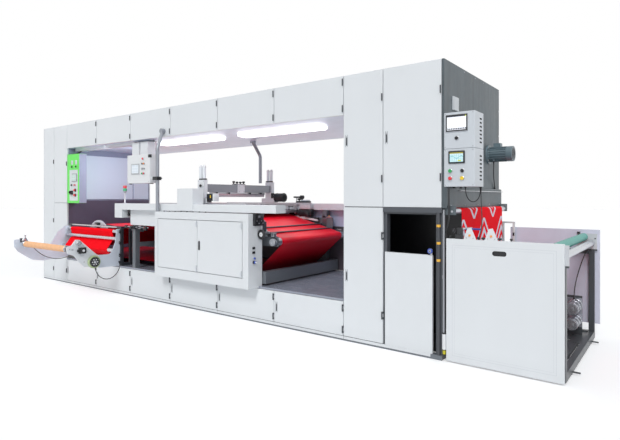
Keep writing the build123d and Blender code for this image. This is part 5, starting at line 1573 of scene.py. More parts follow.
@dataclass
class PrintStation(SubAssembly):
    """Beams, cabinet, table, screen and the web's run over them."""

    stud_y: float = -0.86
    beam_bottom: float = 1.2145
    block_face: float = 1.494
    hand_wheel: Point = (1.512, -0.782, 0.985)
    roller: Pair = (1.6, 0.897)
    roller_end: float = 0.6735
    cheek: Pair = (0.655, 0.682)
    cheek_middle: float = 0.668
    cheek_top: float = 1.1205
    leg_face: float = -0.79
    cabinet_end: float = 1.459
    port_y: float = -0.873
    frame_y: float = 0.563
    frame_top: float = 1.218

    def finish_nodes(self) -> None:
        """Finish the print station's nodes."""
        proud = Patch((-0.3, -1.0, 0.3), (1.5, -0.9596, 1.25), srgb("ced3d8"), 0.35)
        pull = Patch((0.64, -1.0, 0.76), (0.68, -0.9596, 0.89), JET)
        cabinet = PowderCoat("cabinet_paint", PANEL_COLOUR, patches=(proud, pull))
        self.dress(cabinet, "print_cabinet", "cabinet_left_door", "cabinet_right_door")
        self.dress(PANEL_PAINT, "print_beams")
        self.dress(MACHINE_STEEL, "outfeed_roller")
        self.dress(BrushedMetal("bed_steel", srgb("96999e"), 0.34, across=X), "print_table")
        lift = Patch((-1.182, -0.655, 0.914), (-1.118, 0.655, 0.976), srgb("368076"), 0.5)
        bars = Patch((1.2, -0.66, 0.97), (1.5, 0.66, 1.1), srgb("68646a"), 0.3, 0.5)
        frame = PowderCoat("station_frame_paint", srgb("686d73"), 0.38, coat=0.1, patches=(lift, bars))
        self.dress(frame, "table_frame")
        mesh = Patch((-0.379, -0.544, 1.187), (0.859, 0.544, 1.1885), srgb("e2b0b2"), 0.5)
        screen = BrushedMetal("screen_aluminium", srgb("ced0d5"), 0.36, across=Z, patches=(mesh,))
        self.dress(screen, "screen_frame")
        # The red film gets painted shade that darkens its lower run.
        self.dress(Film("red_film", srgb("e8142c"), 0.36, painted_shade=0.62), "web_table")

    def build(self) -> None:
        """Make the small parts of the print station."""
        self._spacers()
        self._tension_block()
        self._roller_bearings()
        self._far_clamp()
        self._edge_strip()
        for name, side in (("near", -1), ("far", 1)):
            self._cheek_fittings(name, side)
        self._beam_bracket()
        self._infeed_guide()
        self._ports()
        self._screen_levers()

    def _spacers(self) -> None:
        """Make the studs between the near beam and the cabinet."""
        stud = [(0.0105, 0), (0.0105, 0.004), (0.0065, 0.0044), (0.0065, 0.0112)]
        shape = Shape("beam_spacers", BLACK_PAINT)
        for index in range(8):
            shape.turned(stud, (-0.15 + 0.115 * index, self.stud_y, self.beam_bottom), Z, 6)
        shape.piece(Slot.BLACK)

    def _tension_block(self) -> None:
        """Make the black adjusting block beside the web, with its bosses and hand wheel."""
        face = self.block_face
        shape = Shape("tension_block", BLACK_PAINT)
        shape.block((1.4605, -0.885, 1.082), (face, -0.742, self.beam_bottom), 0.003)
        shape.block((face - 0.001, -0.862, 1.16), (1.5, -0.772, 1.202), 0.002)
        shape.use(MACHINE_STEEL)
        for y, z in ((-0.855, 1.136), (-0.825, 1.108), (-0.785, 1.136), (-0.76, 1.11)):
            shape.screw((face, y, z), X, 1, 0.006)
        shape.block((1.4995, -0.845, 1.168), (1.5025, -0.81, 1.194), 0.001)
        shape.turned([(0.008, 0), (0.008, 0.1), (0.006, 0.102)], (1.478, -0.76, 1.083), Z, 16, -1)
        shape.block((1.4592, -0.782, 0.965), (1.522, -0.742, 1.002), 0.003)
        rim = [(0.026, 0), (0.026, 0.006), (0.044, 0.008), (0.055, 0.014), (0.055, 0.026), (0.046, 0.032),
               (0.027, 0.032), (0.026, 0.026)]
        shape.use(BLACK_PLASTIC).turned(rim, self.hand_wheel, Y, 40, -1)
        insert = [(0.0255, 0), (0.0255, 0.028), (0.02, 0.032), (0.008, 0.032), (0.006, 0.026), (0, 0.026)]
        shape.use(WHITE_PLASTIC).turned(insert, self.hand_wheel, Y, 24, -1)
        shape.use(MACHINE_STEEL)
        shape.block((1.468, -0.71, 0.9575), (1.512, -0.661, 1.012), 0.003)
        shape.block((1.565, -0.706, 0.9575), (1.61, -0.661, 1.0), 0.003)
        shape.boss((1.49, -0.69, 1.003), Z, 1, 0.007, 0.03, (0.002, 0.004), 16)
        shape.use(BLACK_PLASTIC).block((1.514, -0.704, 0.9575), (1.563, -0.664, 0.99), 0.004, 3)
        shape.piece(Slot.BLACK)

    def _roller_bearings(self) -> None:
        """Make the flanged bearings at the ends of the outfeed roller."""
        x, z = self.roller
        housing = [(0, 0.016), (0.04, 0.016), (0.042, 0.019), (0.042, 0.05), (0.039, 0.054), (0.02, 0.054),
                   (0.018, 0.046), (0, 0.046)]
        shape = Shape("outfeed_bearings", DARK_PAINT)
        for side in (-1, 1):
            y = side * self.roller_end
            y0, y1 = sorted((y, y + side * 0.016))
            shape.use(DARK_PAINT).block((1.545, y0, 0.85), (1.628, y1, 0.942), 0.005, 3)
            shape.use(MACHINE_STEEL).turned(housing, (x, y, z), Y, 36, side)
            shape.use(ZINC)
            for spot in around((x, y + side * 0.054, z), Y, 0.03, 3):
                shape.screw(spot, Y, side, 0.004)
        shape.piece(Slot.BLACK)

    def _far_clamp(self) -> None:
        """Make the clamping unit with its T-handle on the far beam."""
        shape = Shape("far_clamp_unit", BLACK_PAINT)
        shape.block((0.76, 0.592, 1.145), (0.94, 0.668, 1.214), 0.004)
        shape.block((0.93, 0.6, 1.13), (1.14, 0.668, 1.235), 0.004)
        shape.block((0.79, 0.709, 1.3125), (1.0, 0.79, 1.345), 0.003)
        motor = [(0.03, 0), (0.036, 0.003), (0.036, 0.04), (0.03, 0.044), (0, 0.044)]
        shape.turned(motor, (1.08, 0.603, 1.165), Y, 28, -1)
        shape.use(LIGHT_GREY_PAINT)
        shape.block((0.95, 0.585, 1.2345), (1.135, 0.668, 1.297), 0.004)
        shape.block((0.87, 0.71, 1.345), (0.985, 0.786, 1.362), 0.003)
        shape.boss((0.87, 0.592, 1.182), Y, -1, 0.014, 0.014, (0.004, 0.002))
        shape.use(MACHINE_STEEL)
        post = [(0.014, 0), (0.014, 0.03), (0.009, 0.034), (0.009, 0.1)]
        shape.turned(post, (0.77, 0.75, 1.31), Z, 20)
        for x in (0.975, 1.035, 1.1):
            shape.screw((x, 0.585, 1.268), Y, -1, 0.006)
        shape.use(BLACK_PLASTIC)
        handle = [(0.008, -0.055), (0.012, -0.052), (0.012, 0.052), (0.008, 0.055)]
        shape.turned(handle, (0.77, 0.75, 1.4), X, 16)
        shape.knob((0.87, 0.745, 1.35), Z, 1, 0.032, 0.075)
        shape.knob((0.815, 0.75, 1.344), Z, 1, 0.022, 0.04)
        shape.piece(Slot.BLACK)

    def _edge_strip(self) -> None:
        """Make the white strip beside the web's far edge, with its sensor."""
        outline = [(1.126, 0.766), (1.072, 1.245), (1.094, 1.245), (1.16, 0.766)]
        shape = Shape("web_edge_strip", WHITE_PLASTIC).cut(outline, Y, 0.607, 0.628)
        shape.use(BLACK_PLASTIC).block((1.19, 0.612, 1.09), (1.25, 0.65, 1.118), 0.004, 3)
        shape.piece(Slot.WHITE)

    def _cheek_fittings(self, name: str, side: int) -> None:
        """Make the small adjusters that stand on a roller cheek.

        Args:
            name: Word for the cheek in the piece's name.
            side: Its side, -1 for the near one and 1 for the far one.
        """
        y = side * self.cheek_middle
        y0, y1 = sorted((side * self.cheek[0], side * self.cheek[1]))
        shape = Shape(f"cheek_fittings_{name}", MACHINE_STEEL)
        shape.block((1.285, y0, self.cheek_top), (1.345, y1, 1.146), 0.002)
        shape.block((1.36, y0, self.cheek_top), (1.435, y1, 1.138), 0.002)
        shape.block((1.525, y0, 0.9575), (1.6, y1, 0.975), 0.002)
        shape.use(ORANGE_CAP).boss((1.398, y, 1.138), Z, 1, 0.009, 0.013, (0.002, 0.003), 18)
        shape.use(BLACK_PLASTIC)
        shape.knob((1.315, y, 1.146), Z, 1, 0.012, 0.018)
        shape.knob((1.56, y, 0.975), Z, 1, 0.012, 0.018)
        shape.piece(Slot.STEEL)

    def _beam_bracket(self) -> None:
        """Make the black bracket under the left end of the near beam."""
        outline = [(-0.8, 1.224), (-0.8, 1.16), (-0.77, 1.135), (-0.742, 1.135), (-0.742, 1.224)]
        shape = Shape("beam_bracket", BLACK_PAINT)
        shape.cut(outline, X, -1.066, -1.05)
        shape.block((-1.052, -0.8, 1.165), (-1.0, -0.742, 1.224), 0.003)
        shape.block((-1.045, -0.815, 1.135), (-1.015, -0.77, 1.166), 0.003)
        shape.use(ZINC)
        for z in (1.185, 1.208):
            shape.screw((-1.026, -0.8, z), Y, -1, 0.005)
        shape.piece(Slot.BLACK)

    def _infeed_guide(self) -> None:
        """Make the edge guide with its clamps in front of the near left leg."""
        face = self.leg_face
        rod = [(0.006, 0), (0.007, 0.001), (0.007, 0.559), (0.006, 0.56)]
        shape = Shape("infeed_guide", BLACK_PAINT)
        shape.block((-0.985, -0.822, 0.955), (-0.875, face - 0.0005, 1.002), 0.003)
        shape.block((-1.12, -0.818, 0.966), (-1.06, face, 1.0), 0.003)
        shape.use(MACHINE_STEEL).turned(rod, (-1.13, -0.805, 0.982), X, 18)
        shape.block((-0.79, -0.824, 0.962), (-0.73, face, 1.0), 0.003)
        shape.use(BLACK_PLASTIC)
        shape.knob((-0.93, -0.822, 0.978), Y, -1, 0.018, 0.024)
        shape.knob((-0.76, -0.824, 0.982), Y, -1, 0.013, 0.02)
        shape.block((-0.68, -0.822, 0.945), (-0.6, face, 1.0), 0.004, 3)
        shape.use(RED_CAP)
        for x, y in ((-1.09, -0.818), (-0.64, -0.822)):
            shape.boss((x, y, 0.984), Y, -1, 0.006, 0.007, segments=14)
        shape.piece(Slot.BLACK)

    def _ports(self) -> None:
        """Make the sockets and the air connector on the cabinet's end."""
        x, y = self.cabinet_end, self.port_y
        connector = (x, y, 0.682)
        shape = Shape("cabinet_ports", BLACK_PLASTIC)
        for z in (0.838, 0.788):
            shape.block((x, y - 0.02, z - 0.013), (x + 0.007, y + 0.02, z + 0.013), 0.002)
            shape.block((x + 0.006, y - 0.014, z - 0.008), (x + 0.011, y + 0.014, z + 0.008), 0.001)
        shape.turned([(0.018, 0), (0.018, 0.01), (0.014, 0.012), (0.014, 0.02)], connector, X, 24)
        shape.use(BLUE_CAP)
        shape.turned([(0.011, 0.018), (0.0155, 0.019), (0.0155, 0.032), (0.011, 0.034)], connector, X, 24)
        shape.boss((x, -0.86, 0.722), X, 1, 0.012, 0.015, (0.003, 0.003))
        shape.use(WHITE_PLASTIC)
        shape.turned([(0.0095, 0.03), (0.0095, 0.046), (0.007, 0.048), (0, 0.048)], connector, X, 20)
        shape.piece(Slot.BLACK)

    def _screen_levers(self) -> None:
        """Make the hand levers that clamp the printing screen."""
        post = [(0.012, 0), (0.012, 0.006), (0.007, 0.009), (0.007, 0.04), (0.012, 0.043), (0.012, 0.055),
                (0.009, 0.059), (0, 0.059)]
        grip = [(0, 0), (0.008, 0.003), (0.01, 0.011), (0.008, 0.019), (0, 0.022)]
        shape = Shape("screen_levers", BLACK_PLASTIC)
        for side in (-1, 1):
            y = side * self.frame_y
            for x in (-0.3, 0.78):
                shape.turned(post, (x, y, self.frame_top), Z, 20)
                shape.block((x - 0.005, y - 0.005, 1.262), (x + 0.062, y + 0.005, 1.271), 0.003)
                shape.turned(grip, (x + 0.055, y, 1.2665), X, 18)
        shape.piece(Slot.BLACK)


@dataclass
class Carriage(SubAssembly):
    """The travelling carriage with its blade, cylinders and drive."""

    body: str = "carriage"
    x: float = 0.345
    rail_y: float = 0.64
    cylinder_gap: float = 0.032
    post_top: float = 1.573
    bar_bottom: float = 1.4645
    drive_z: float = 1.3943
    blade_half: float = 0.52
    cheek_outside: float = 0.668

    def finish_nodes(self) -> None:
        """Finish the carriage's node."""
        patches = (Patch((0.3062, -0.613, 1.4645), (0.3838, 0.613, 1.5678), srgb("8a8d94"), 0.32, 0.45),
                   Patch((0.4695, -0.69, 1.34), (0.61, -0.59, 1.45), JET),
                   Patch((0.4, 0.59, 1.3826), (0.64, 0.71, 1.46), JET),
                   Patch((0.4703, 0.57, 1.32), (0.64, 0.71, 1.46), JET),
                   Patch((0.2, -0.68, 1.6192), (0.5, 0.68, 1.83), srgb("e4e9ed"), 0.28))
        paint = PowderCoat("carriage_paint", srgb("e0e3e7"), 0.34, coat=0.15, patches=patches)
        self.dress(paint, "squeegee_carriage")

    def build(self) -> None:
        """Make the parts that ride with the carriage."""
        self._cylinder_parts()
        self._adjusters()
        self._blade()
        self._drive_parts()
        self._cheek_parts()

    def _cylinder_parts(self) -> None:
        """Make the collars, flow fittings and rod ends of the four cylinders."""
        cap = [(0.018, 0), (0.0175, 0.004), (0.0125, 0.011), (0.0105, 0.0155), (0.007, 0.018), (0, 0.018)]
        fitting = [(0.006, 0), (0.006, 0.012), (0.0075, 0.013), (0.0075, 0.021), (0.005, 0.022)]
        collar = (0.0222, 0.0238)
        shape = Shape("cylinder_fittings", WHITE_PLASTIC)
        for side in (-1, 1):
            y = side * self.rail_y
            for x in (self.x - self.cylinder_gap, self.x + self.cylinder_gap):
                shape.use(BLACK_PLASTIC).band((x, y, 1.6195), Z, 1, collar, 0.0175, segments=28)
                shape.turned(fitting, (x, y - side * 0.0215, 1.63), Y, 14, -side)
                shape.use(WHITE_PLASTIC).band((x, y, 1.772), Z, 1, collar, 0.0175, segments=28)
                shape.turned(cap, (x, y, 1.79), Z, 22)
        shape.piece(Slot.STEEL, self.body)

    def _adjusters(self) -> None:
        """Make the fine adjusters on the middle block and the block's screws."""
        bar_top = self.post_top + 0.01
        shape = Shape("blade_adjusters", BLACK_PLASTIC)
        shape.block((self.x - 0.016, -0.115, self.post_top + 0.0002), (self.x + 0.016, 0.115, bar_top), 0.002)
        for y, height in ((-0.094, 0.036), (-0.032, 0.03), (0.032, 0.03), (0.094, 0.036)):
            shape.knob((self.x, y, bar_top), Z, 1, 0.018, height)
        shape.use(ZINC)
        for x in (self.x - 0.042, self.x + 0.042):
            for y in (-0.05, 0.05):
                shape.screw((x, y, self.post_top), Z, 1, 0.0055)
        for y in (-0.045, 0.045):
            for z in (1.478, 1.552):
                shape.screw((self.x + 0.055, y, z), X, 1, 0.0055)
        shape.piece(Slot.BLACK, self.body)

    def _blade(self) -> None:
        """Make the squeegee holder with its rubber edge under the bar."""
        x, top, half = self.x, self.bar_bottom, self.blade_half
        holder = [(top, x - 0.012), (top, x + 0.012), (1.44, x + 0.012), (1.428, x + 0.006),
                  (1.428, x - 0.006),
                  (1.44, x - 0.012)]
        edge = [(1.4285, x - 0.0045), (1.4285, x + 0.0045), (1.405, x + 0.0045), (1.402, x - 0.0045)]
        shape = Shape("squeegee_blade", ALUMINIUM).cut(holder, Y, -half, half, 0.0006)
        shape.use(Rubber("blade_rubber", srgb("bec0c6"), 0.5, across=Z))
        shape.cut(edge, Y, 0.005 - half, half - 0.005, 0.0004)
        shape.use(BLACK_PLASTIC)
        for y in (-0.42, -0.2, 0.2, 0.42):
            shape.knob((x + 0.012, y, 1.452), X, 1, 0.011, 0.024)
        shape.piece(Slot.ALUMINIUM, self.body)

    def _drive_parts(self) -> None:
        """Make the motor's grille and bands, and the box's end cap, lamp and screws."""
        y, z = self.rail_y, self.drive_z
        shell = (0.0622, 0.0652)
        shape = Shape("drive_parts", BLACK_PLASTIC)
        for radius in (0.014, 0.028, 0.042):
            ring = [(radius, 0), (radius, 0.002), (radius + 0.005, 0.002), (radius + 0.005, 0)]
            shape.turned(ring, (0.63, y, z), X, 28)
        shape.band((0.49, y, z), X, 1, shell, 0.009)
        shape.band((0.604, y, z), X, 1, shell, 0.021)
        shape.use(WHITE_PLASTIC).block((0.5805, -0.6835, 1.349), (0.602, -0.5965, 1.4455), 0.004, 3)
        shape.use(YELLOW_CAP).block((0.53, -0.6825, 1.388), (0.546, -0.679, 1.422), 0.0012)
        shape.use(ZINC)
        for x in (0.485, 0.565):
            shape.screw((x, -0.68, 1.437), Y, -1, 0.004)
        shape.piece(Slot.BLACK, self.body)

    def _cheek_parts(self) -> None:
        """Make the screws, side plates and wipers of the carriage's ends."""
        wipers = ((self.x - 0.1285, self.x - 0.125, 1.376), (self.x + 0.1212, self.x + 0.1238, 1.35))
        shape = Shape("cheek_parts", BLACK_PAINT)
        for side in (-1, 1):
            rail = side * self.rail_y
            y = side * self.cheek_outside
            y0, y1 = sorted((y, y + side * 0.006))
            shape.use(BLACK_PAINT)
            shape.block((self.x - 0.05, y0, 1.402), (self.x - 0.02, y1, 1.51), 0.002)
            shape.block((self.x + 0.022, y0, 1.43), (self.x + 0.05, y1, 1.47), 0.002)
            shape.knob((self.x + 0.01, y, 1.545), Y, side, 0.016, 0.026)
            for x0, x1, top in wipers:
                shape.block((x0, rail - 0.034, 1.3262), (x1, rail + 0.034, top), 0.0008)
            shape.use(ZINC)
            for x in (self.x - 0.05, self.x + 0.05):
                for z in (1.53, 1.6):
                    shape.screw((x, y, z), Y, side, 0.0048)
        shape.piece(Slot.BLACK, self.body)


@dataclass
class Unwinder(SubAssembly):
    """The unwinding stand in front of the first bays."""

    brake: Point = (-1.208, -1.207, 0.509)
    arm_face: float = -1.254
    arm_clamp: Point = (-1.214, -1.375, 0.68)
    arm_tip: Pair = (-1.43, 0.784)
    core: Pair = (-1.5, 0.698)
    core_ends: Pair = (-2.612, -1.408)
    bar_front: float = -0.79
    clamp_front: float = -0.812
    disc: Point = (-1.99, -0.7125, 0.954)

    def finish_nodes(self) -> None:
        """Finish the unwinder's nodes."""
        self.dress(PowderCoat("plate_grey", srgb("d0d8e4"), 0.36), "unwind_plates")
        disc = (Patch((-2.31, -0.7125, 0.4), (-1.67, -0.7035, 1.05), srgb("ced0da")),
                Patch((-2.03, -0.705, 0.91), (-1.95, 0.66, 0.985), srgb("babdc3"), 0.3, 0.8))
        frame = PowderCoat("unwind_black", srgb("32353a"), 0.38, coat=0.15, patches=disc)
        self.dress(frame, "unwind_frame")
        fitted = (Patch((-1.2539, -1.28, 0.42), (-1.2, -1.13, 0.58), srgb("2c2e32"), 0.34, 0.2),
                  Patch((-1.2226, -1.26, 0.46), (-1.2214, -1.155, 0.56), srgb("e2e5e8")),
                  Patch((-1.2539, -1.43, 0.635), (-1.2, -1.32, 0.725), JET),
                  Patch((-1.52, -1.45, 0.56), (-1.279, -1.4, 0.62), JET))
        arm = PowderCoat("arm_grey", srgb("dadee3"), 0.34, coat=0.15, patches=fitted)
        self.dress(arm, "brake_arm")
        ends = (Patch((-2.75, -1.56, 0.63), (-2.6101, -1.44, 0.76), srgb("c4c7cb"), 0.28, 0.9),
                Patch((-1.4099, -1.56, 0.63), (-1.2, -1.44, 0.76), srgb("cccfd3"), 0.3, 0.7))
        card = WoundCard("wound_card", srgb("f4be90"), 0.7, relief=0.15, patches=ends)
        self.dress(card, "paper_core")
        self.dress(TURNED_STEEL, "unwind_rollers")
        film = Film("red_film_unwind", srgb("f80e1e"), 0.5, shine=0.02, across=X)
        self.dress(film, "web_unwind")

    def build(self) -> None:
        """Make the unwinder's small parts."""
        self._brake_parts()
        self._far_plate_clamp()
        self._chucks()
        self._bar_scale()
        self._frame_clamps()
        self._disc_hub()

    def _brake_parts(self) -> None:
        """Make the brake's rim, hub, bolts and pale holes, and the fittings on the arm."""
        x, y, z = self.brake
        on_arm = (self.arm_face, y, z)
        rim = [(0.0682, 0.001), (0.086, 0.002), (0.088, 0.005), (0.088, 0.028), (0.085, 0.032),
               (0.076, 0.034),
               (0.0682, 0.034)]
        hub = [(0, 0), (0.019, 0), (0.019, 0.003), (0.013, 0.005), (0.013, 0.009), (0.011, 0.011),
               (0, 0.011)]
        shape = Shape("brake_parts", PowderCoat("brake_rim", srgb("b2c496"), 0.4, coat=0.0))
        shape.turned(rim, on_arm, X, 48)
        shape.use(MACHINE_STEEL).turned(hub, self.brake, X, 28)
        for spot in around(self.brake, X, 0.055, 6, math.pi / 6):
            shape.screw(spot, X, 1, 0.0045)
        shape.use(WHITE_PLASTIC)
        for spot in around(on_arm, X, 0.036, 6):
            shape.turned([(0, 0), (0.0096, 0), (0.0096, 0.0448), (0, 0.0448)], spot, X, 18)
        self._arm_fittings(shape)
        shape.piece(Slot.BLACK)

    def _arm_fittings(self, shape: Shape) -> None:
        """Add the clamp, the tip's stub and the bolts of the arm.

        Args:
            shape: The shape that holds the brake's parts.
        """
        dish = [(0, 0), (0.038, 0), (0.04, 0.003), (0.04, 0.014), (0.034, 0.018), (0.02, 0.018),
                (0.019, 0.012), (0, 0.012)]
        nut = [(0, 0.012), (0.016, 0.012), (0.016, 0.022), (0.012, 0.025), (0, 0.025)]
        stub = [(0, 0), (0.034, 0), (0.034, 0.042), (0.031, 0.046), (0.014, 0.046), (0.012, 0.038),
                (0, 0.038)]
        shape.use(BLACK_PLASTIC).turned(dish, self.arm_clamp, X, 32)
        shape.block((-1.212, -1.462, 0.664), (-1.2, -1.41, 0.7), 0.004, 3)
        shape.use(LIGHT_GREY_PAINT).turned(nut, self.arm_clamp, X, 24)
        shape.use(TURNED_STEEL).turned(stub, (self.arm_face, *self.arm_tip), X, 32)
        shape.use(ZINC)
        for y, z in ((-1.54, 0.705), (-1.3, 0.66), (-1.34, 0.52)):
            shape.screw((self.arm_face, y, z), X, 1, 0.0075)

    def _far_plate_clamp(self) -> None:
        """Make the clamp that stands on the far plate over the core's end."""
        cap = [(0, 0), (0.03, 0), (0.032, 0.004), (0.032, 0.022), (0.026, 0.027), (0, 0.028)]
        stud = [(0.009, 0), (0.009, 0.03), (0.013, 0.032), (0.013, 0.045), (0, 0.047)]
        shape = Shape("far_plate_clamp", DARK_PAINT)
        shape.block((-2.74, -1.545, 0.722), (-2.712, -1.455, 0.782), 0.004, 3)
        shape.use(TURNED_STEEL).turned(cap, (-2.712, -1.5, 0.752), X, 28)
        shape.turned(stud, (-2.726, -1.47, 0.781), Z, 18)
        shape.piece(Slot.STEEL)

    def _chucks(self) -> None:
        """Make the collars and clamping screws of the core's chucks."""
        collar = [(0.0365, 0), (0.047, 0.0005), (0.049, 0.003), (0.049, 0.009), (0.046, 0.012),
                  (0.0365, 0.0125)]
        screw = [(0.0055, 0), (0.0055, 0.006), (0.004, 0.007), (0, 0.007)]
        shape = Shape("core_chucks", TURNED_STEEL)
        for x, sign in zip(self.core_ends, (-1, 1)):
            end = (x, *self.core)
            shape.use(TURNED_STEEL).turned(collar, end, X, 36, sign)
            shape.use(BLACK_PLASTIC)
            shape.band((x + sign * 0.03, *self.core), X, sign, (0.0362, 0.0398), 0.015)
            shape.use(ZINC)
            middle = (x + sign * 0.037, *self.core)
            for spot in around(middle, X, 0.0395, 3, 0.5):
                shape.turned(screw, spot, segments=10, aim=Vector(spot) - Vector(middle))
        shape.piece(Slot.STEEL, "core")

    def _bar_scale(self) -> None:
        """Make the pale adjusting rail with plain marks on the frame's crossbar."""
        face, foot = self.bar_front, 0.9545
        shape = Shape("bar_scale", LIGHT_GREY_PAINT)
        shape.block((-2.64, face - 0.003, 0.9525), (-1.36, face, 0.9705), 0.0008)
        shape.use(DARK_PAINT)
        for mark in range(25):
            x = -2.6 + 0.05 * mark
            top = foot + (0.0135 if mark % 5 == 0 else 0.008)
            shape.block((x, face - 0.0036, foot), (x + 0.003, face - 0.0026, top), 0.0002, 1)
        for x in (-2.63, -2.2, -1.78, -1.37):
            shape.screw((x, face - 0.003, 0.9615), Y, -1, 0.0045)
        shape.piece(Slot.GREY)

    def _frame_clamps(self) -> None:
        """Make the frame's black clamp blocks and their bolts."""
        front = self.clamp_front
        shape = Shape("frame_clamps", BLACK_PLASTIC)
        for z in (0.9, 0.74, 0.56):
            shape.block((-1.276, front, z - 0.022), (-1.246, front + 0.0195, z + 0.022), 0.004, 3)
        for z in (0.9, 0.62):
            shape.block((-2.764, front, z - 0.02), (-2.736, front + 0.0195, z + 0.02), 0.004, 3)
        shape.use(ZINC)
        for z in (0.9, 0.74, 0.56):
            shape.screw((-1.261, front, z), Y, -1, 0.0065)
        shape.piece(Slot.BLACK)

    def _disc_hub(self) -> None:
        """Make the hub and the clamp of the infeed roller's large end disc."""
        x, y, z = self.disc
        hub = [(0, 0), (0.045, 0), (0.045, 0.01), (0.03, 0.014), (0.018, 0.014), (0.0175, 0.03),
               (0.0165, 0.032)]
        shape = Shape("disc_hub", BLACK_PLASTIC).turned(hub, self.disc, Y, 30, -1)
        shape.block((-2.06, -0.742, 0.985), (-1.94, -0.715, 1.01), 0.004, 3)
        shape.use(ZINC)
        for spot in around((x, y - 0.01, z), Y, 0.037, 5, math.pi / 2):
            shape.screw(spot, Y, -1, 0.004)
        shape.piece(Slot.BLACK)


@dataclass
class Rewinder(SubAssembly):
    """The rewinding stand past the tower's end."""

    face: float = -0.79
    sides: Pair = (3.625, 4.53)
    foot: float = 0.012
    top: float = 1.048
    knob_y: float = -0.772
    bearing_face: float = 0.736
    drive_x: float = 4.395
    tray: Pair = (-0.7, 0.236)

    def finish_nodes(self) -> None:
        """Finish the rewinder's nodes."""
        panels = (Patch((4.0, -0.7897, 0.92), (4.13, -0.77, 0.972), JET, 0.5),
                  Patch((3.75, -0.8, 1.06), (4.08, -0.7864, 1.12), srgb("f2a054")),
                  # Painted shade: the far panel's inner face is tinted lavender grey for white in purplish
                  # shade.
                  Patch((3.73, 0.7595, 0.14), (4.6, 0.7606, 1.08), srgb("d0d2e2")))
        panel = PowderCoat("rewinder_paint", PANEL_COLOUR, patches=panels)
        self.dress(panel, "rewinder_panels")
        fitted = (Patch((4.32, 0.31, 0.14), (4.47, 0.572, 0.42), srgb("b6b8c0"), 0.25, 0.8),
                  Patch((4.37, 0.735, 0.885), (4.56, 0.762, 1.04), srgb("c4c7cb"), 0.36),
                  Patch((4.37, -0.762, 0.885), (4.56, -0.735, 1.04), srgb("c4c7cb"), 0.36))
        base = PowderCoat("rewinder_black", srgb("404448"), 0.38, patches=fitted)
        self.dress(base, "rewinder_base")
        shafts = (Patch((4.38, -0.76, 0.96), (4.5, -0.7242, 1.05), srgb("b4b7bb"), 0.3, 0.9),
                  Patch((4.38, 0.7242, 0.96), (4.5, 0.76, 1.05), srgb("b4b7bb"), 0.3, 0.9))
        self.dress(Rubber("teal_rubber", srgb("58a096"), 0.5, patches=shafts), "drive_roller")
        self.dress(MACHINE_STEEL, "nip_roller")
        self.dress(PatternedFilm("patterned_film", srgb("f61022"), 0.5, shine=0.02), "web_end")

    def build(self) -> None:
        """Make the rewinder's small parts."""
        self._panel_beads()
        self._web_guide()
        self._top_knobs()
        self._bearing_hubs()
        self._far_bracket()
        self._drive_bands()
        self._tray_rails()

    def _panel_beads(self) -> None:
        """Make the two fine beads pressed round the near panel."""
        back, front = self.face + 0.0002, self.face - 0.0006
        shape = Shape("panel_beads", PowderCoat("bead_paint", srgb("cbd0d5"), 0.36))
        for inset, wide in ((0.052, 0.0022), (0.072, 0.0012)):
            x0, x1 = self.sides[0] + inset, self.sides[1] - inset
            z0, z1 = self.foot + inset, self.top - inset
            for left, right, low, high in ((x0, x1, z0, z0 + wide), (x0, x1, z1 - wide, z1),
                                           (x0, x0 + wide, z0, z1), (x1 - wide, x1, z0, z1)):
                shape.block((left, front, low), (right, back, high), 0.0003, 1)
        shape.piece(Slot.WHITE)

    def _web_guide(self) -> None:
        """Make the clamp, rod and sensors that follow the web's edge."""
        rod = [(0.009, 0), (0.014, 0.001), (0.014, 0.04), (0.009, 0.042), (0.007, 0.044), (0.007, 0.24),
               (0.005, 0.242)]
        shape = Shape("web_guide", BLACK_PAINT)
        shape.block((3.702, -0.79, 1.0485), (3.764, -0.752, 1.085), 0.004, 3)
        shape.block((3.716, -0.784, 1.083), (3.758, -0.748, 1.142), 0.005, 3)
        shape.knob((3.7, -0.771, 1.115), X, -1, 0.02, 0.024)
        shape.use(MACHINE_STEEL).turned(rod, (3.748, -0.755, 1.128), Y, 20)
        shape.use(BLUE_CAP)
        shape.block((3.742, -0.655, 1.116), (3.8, -0.62, 1.131), 0.003, 3)
        shape.block((3.742, -0.585, 1.114), (3.845, -0.556, 1.13), 0.003, 3)
        shape.use(GREY_PLASTIC).block((3.742, -0.66, 1.13), (3.762, -0.55, 1.136), 0.002)
        shape.piece(Slot.BLACK)

    def _top_knobs(self) -> None:
        """Make the black knobs along the near panel's top edge."""
        shape = Shape("panel_top_knobs", BLACK_PLASTIC)
        for x, wide in ((3.655, 0.011), (3.892, 0.012), (3.932, 0.014), (4.062, 0.014), (4.15, 0.01)):
            shape.knob((x, self.knob_y, self.top), Z, 1, wide, 0.022)
        shape.use(ZINC)
        for plate in (3.825, 3.999):
            for x in (plate - 0.028, plate + 0.028):
                shape.screw((x, -0.786, self.top + 0.012), Y, -1, 0.004)
        shape.piece(Slot.BLACK)

    def _bearing_hubs(self) -> None:
        """Make the hubs and bolts on the roller bearings' inner faces."""
        shape = Shape("bearing_hubs", LIGHT_GREY_PAINT)
        for side in (-1, 1):
            y = side * self.bearing_face
            shape.use(LIGHT_GREY_PAINT)
            for x, z, wide in ((4.44, 1.003, 0.032), (4.505, 0.947, 0.024)):
                hub = [(wide, 0), (wide, 0.004), (wide - 0.004, 0.0065), (0.0145, 0.0065), (0.0138, 0)]
                shape.turned(hub, (x, y, z), Y, 30, -side)
            shape.use(BLACK_PLASTIC)
            for x, z in ((4.395, 1.024), (4.395, 0.978), (4.54, 0.99), (4.47, 0.9)):
                shape.screw((x, y, z), Y, -side, 0.0068)
        shape.use(BLACK_PAINT).block((4.385, 0.7, 1.037), (4.41, 0.745, 1.055), 0.003)
        shape.piece(Slot.GREY)

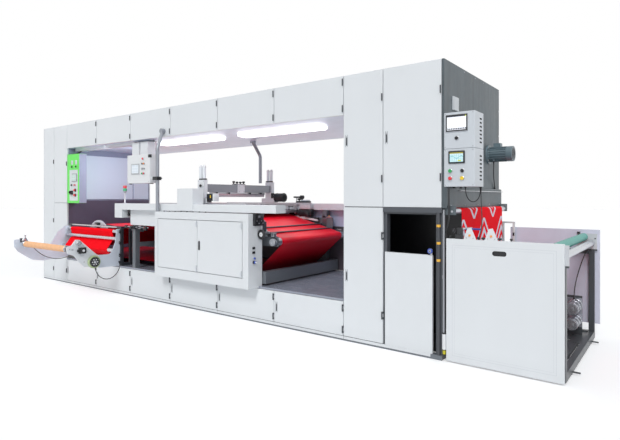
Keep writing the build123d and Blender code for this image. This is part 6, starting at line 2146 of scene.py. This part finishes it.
    def _far_bracket(self) -> None:
        """Make the bracket that stands on the far rail beside the web."""
        shape = Shape("far_guide_bracket", LIGHT_GREY_PAINT)
        shape.block((3.66, 0.715, 0.8805), (3.68, 0.735, 1.118), 0.002)
        shape.block((3.66, 0.715, 1.118), (3.79, 0.735, 1.136), 0.002)
        shape.block((3.768, 0.71, 0.8805), (3.79, 0.735, 1.118), 0.002)
        shape.use(BLACK_PLASTIC).block((3.77, 0.704, 0.985), (3.788, 0.7105, 1.02), 0.003)
        shape.piece(Slot.GREY)

    def _drive_bands(self) -> None:
        """Make the bands and caps of the low drive's cylinders."""
        shape = Shape("drive_bands", TURNED_STEEL)
        for z, radius in ((0.352, 0.058), (0.205, 0.052)):
            for y in (0.334, 0.44, 0.545):
                radii = (radius, radius + 0.0025)
                shape.band((self.drive_x, y, z), Y, 1, radii, 0.008, 0.0008)
            cap = [(0, 0), (radius - 0.006, 0), (radius - 0.008, 0.004), (0.02, 0.004), (0.018, 0.008),
                   (0, 0.008)]
            shape.turned(cap, (self.drive_x, 0.33, z), Y, 36, -1)
        shape.piece(Slot.BLACK)

    def _tray_rails(self) -> None:
        """Make the slatted tray that closes the base's outer side."""
        near, far = self.tray
        shape = Shape("tray_rails", DARK_PAINT)
        for x0, x1 in ((4.13, 4.215), (4.245, 4.33), (4.36, 4.47)):
            shape.block((x0, near, 0.056), (x1, far, 0.066), 0.002)
        for y in (-0.69, -0.24, 0.19):
            shape.block((4.13, y, 0.046), (4.47, y + 0.04, 0.0565), 0.002)
        for x in (4.125, 4.462):
            shape.block((x, near, 0.06), (x + 0.006, far, 0.084), 0.001)
        shape.piece(Slot.GREY)


def main() -> None:
    """Load the frame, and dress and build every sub-assembly."""
    logging.basicConfig(level=logging.INFO, format="%(message)s")
    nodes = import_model()["nodes"]
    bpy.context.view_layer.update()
    Studio().build()
    Cables().build()
    for kind in (Housing, Fittings, OperatorBoxes, InstrumentBoard, TowerEnd, PrintStation, Carriage,
                 Unwinder, Rewinder):
        group = kind(nodes)
        group.finish_nodes()
        group.build()
    bpy.context.scene.view_settings.view_transform = "Standard"


if __name__ == "__main__":
    main()
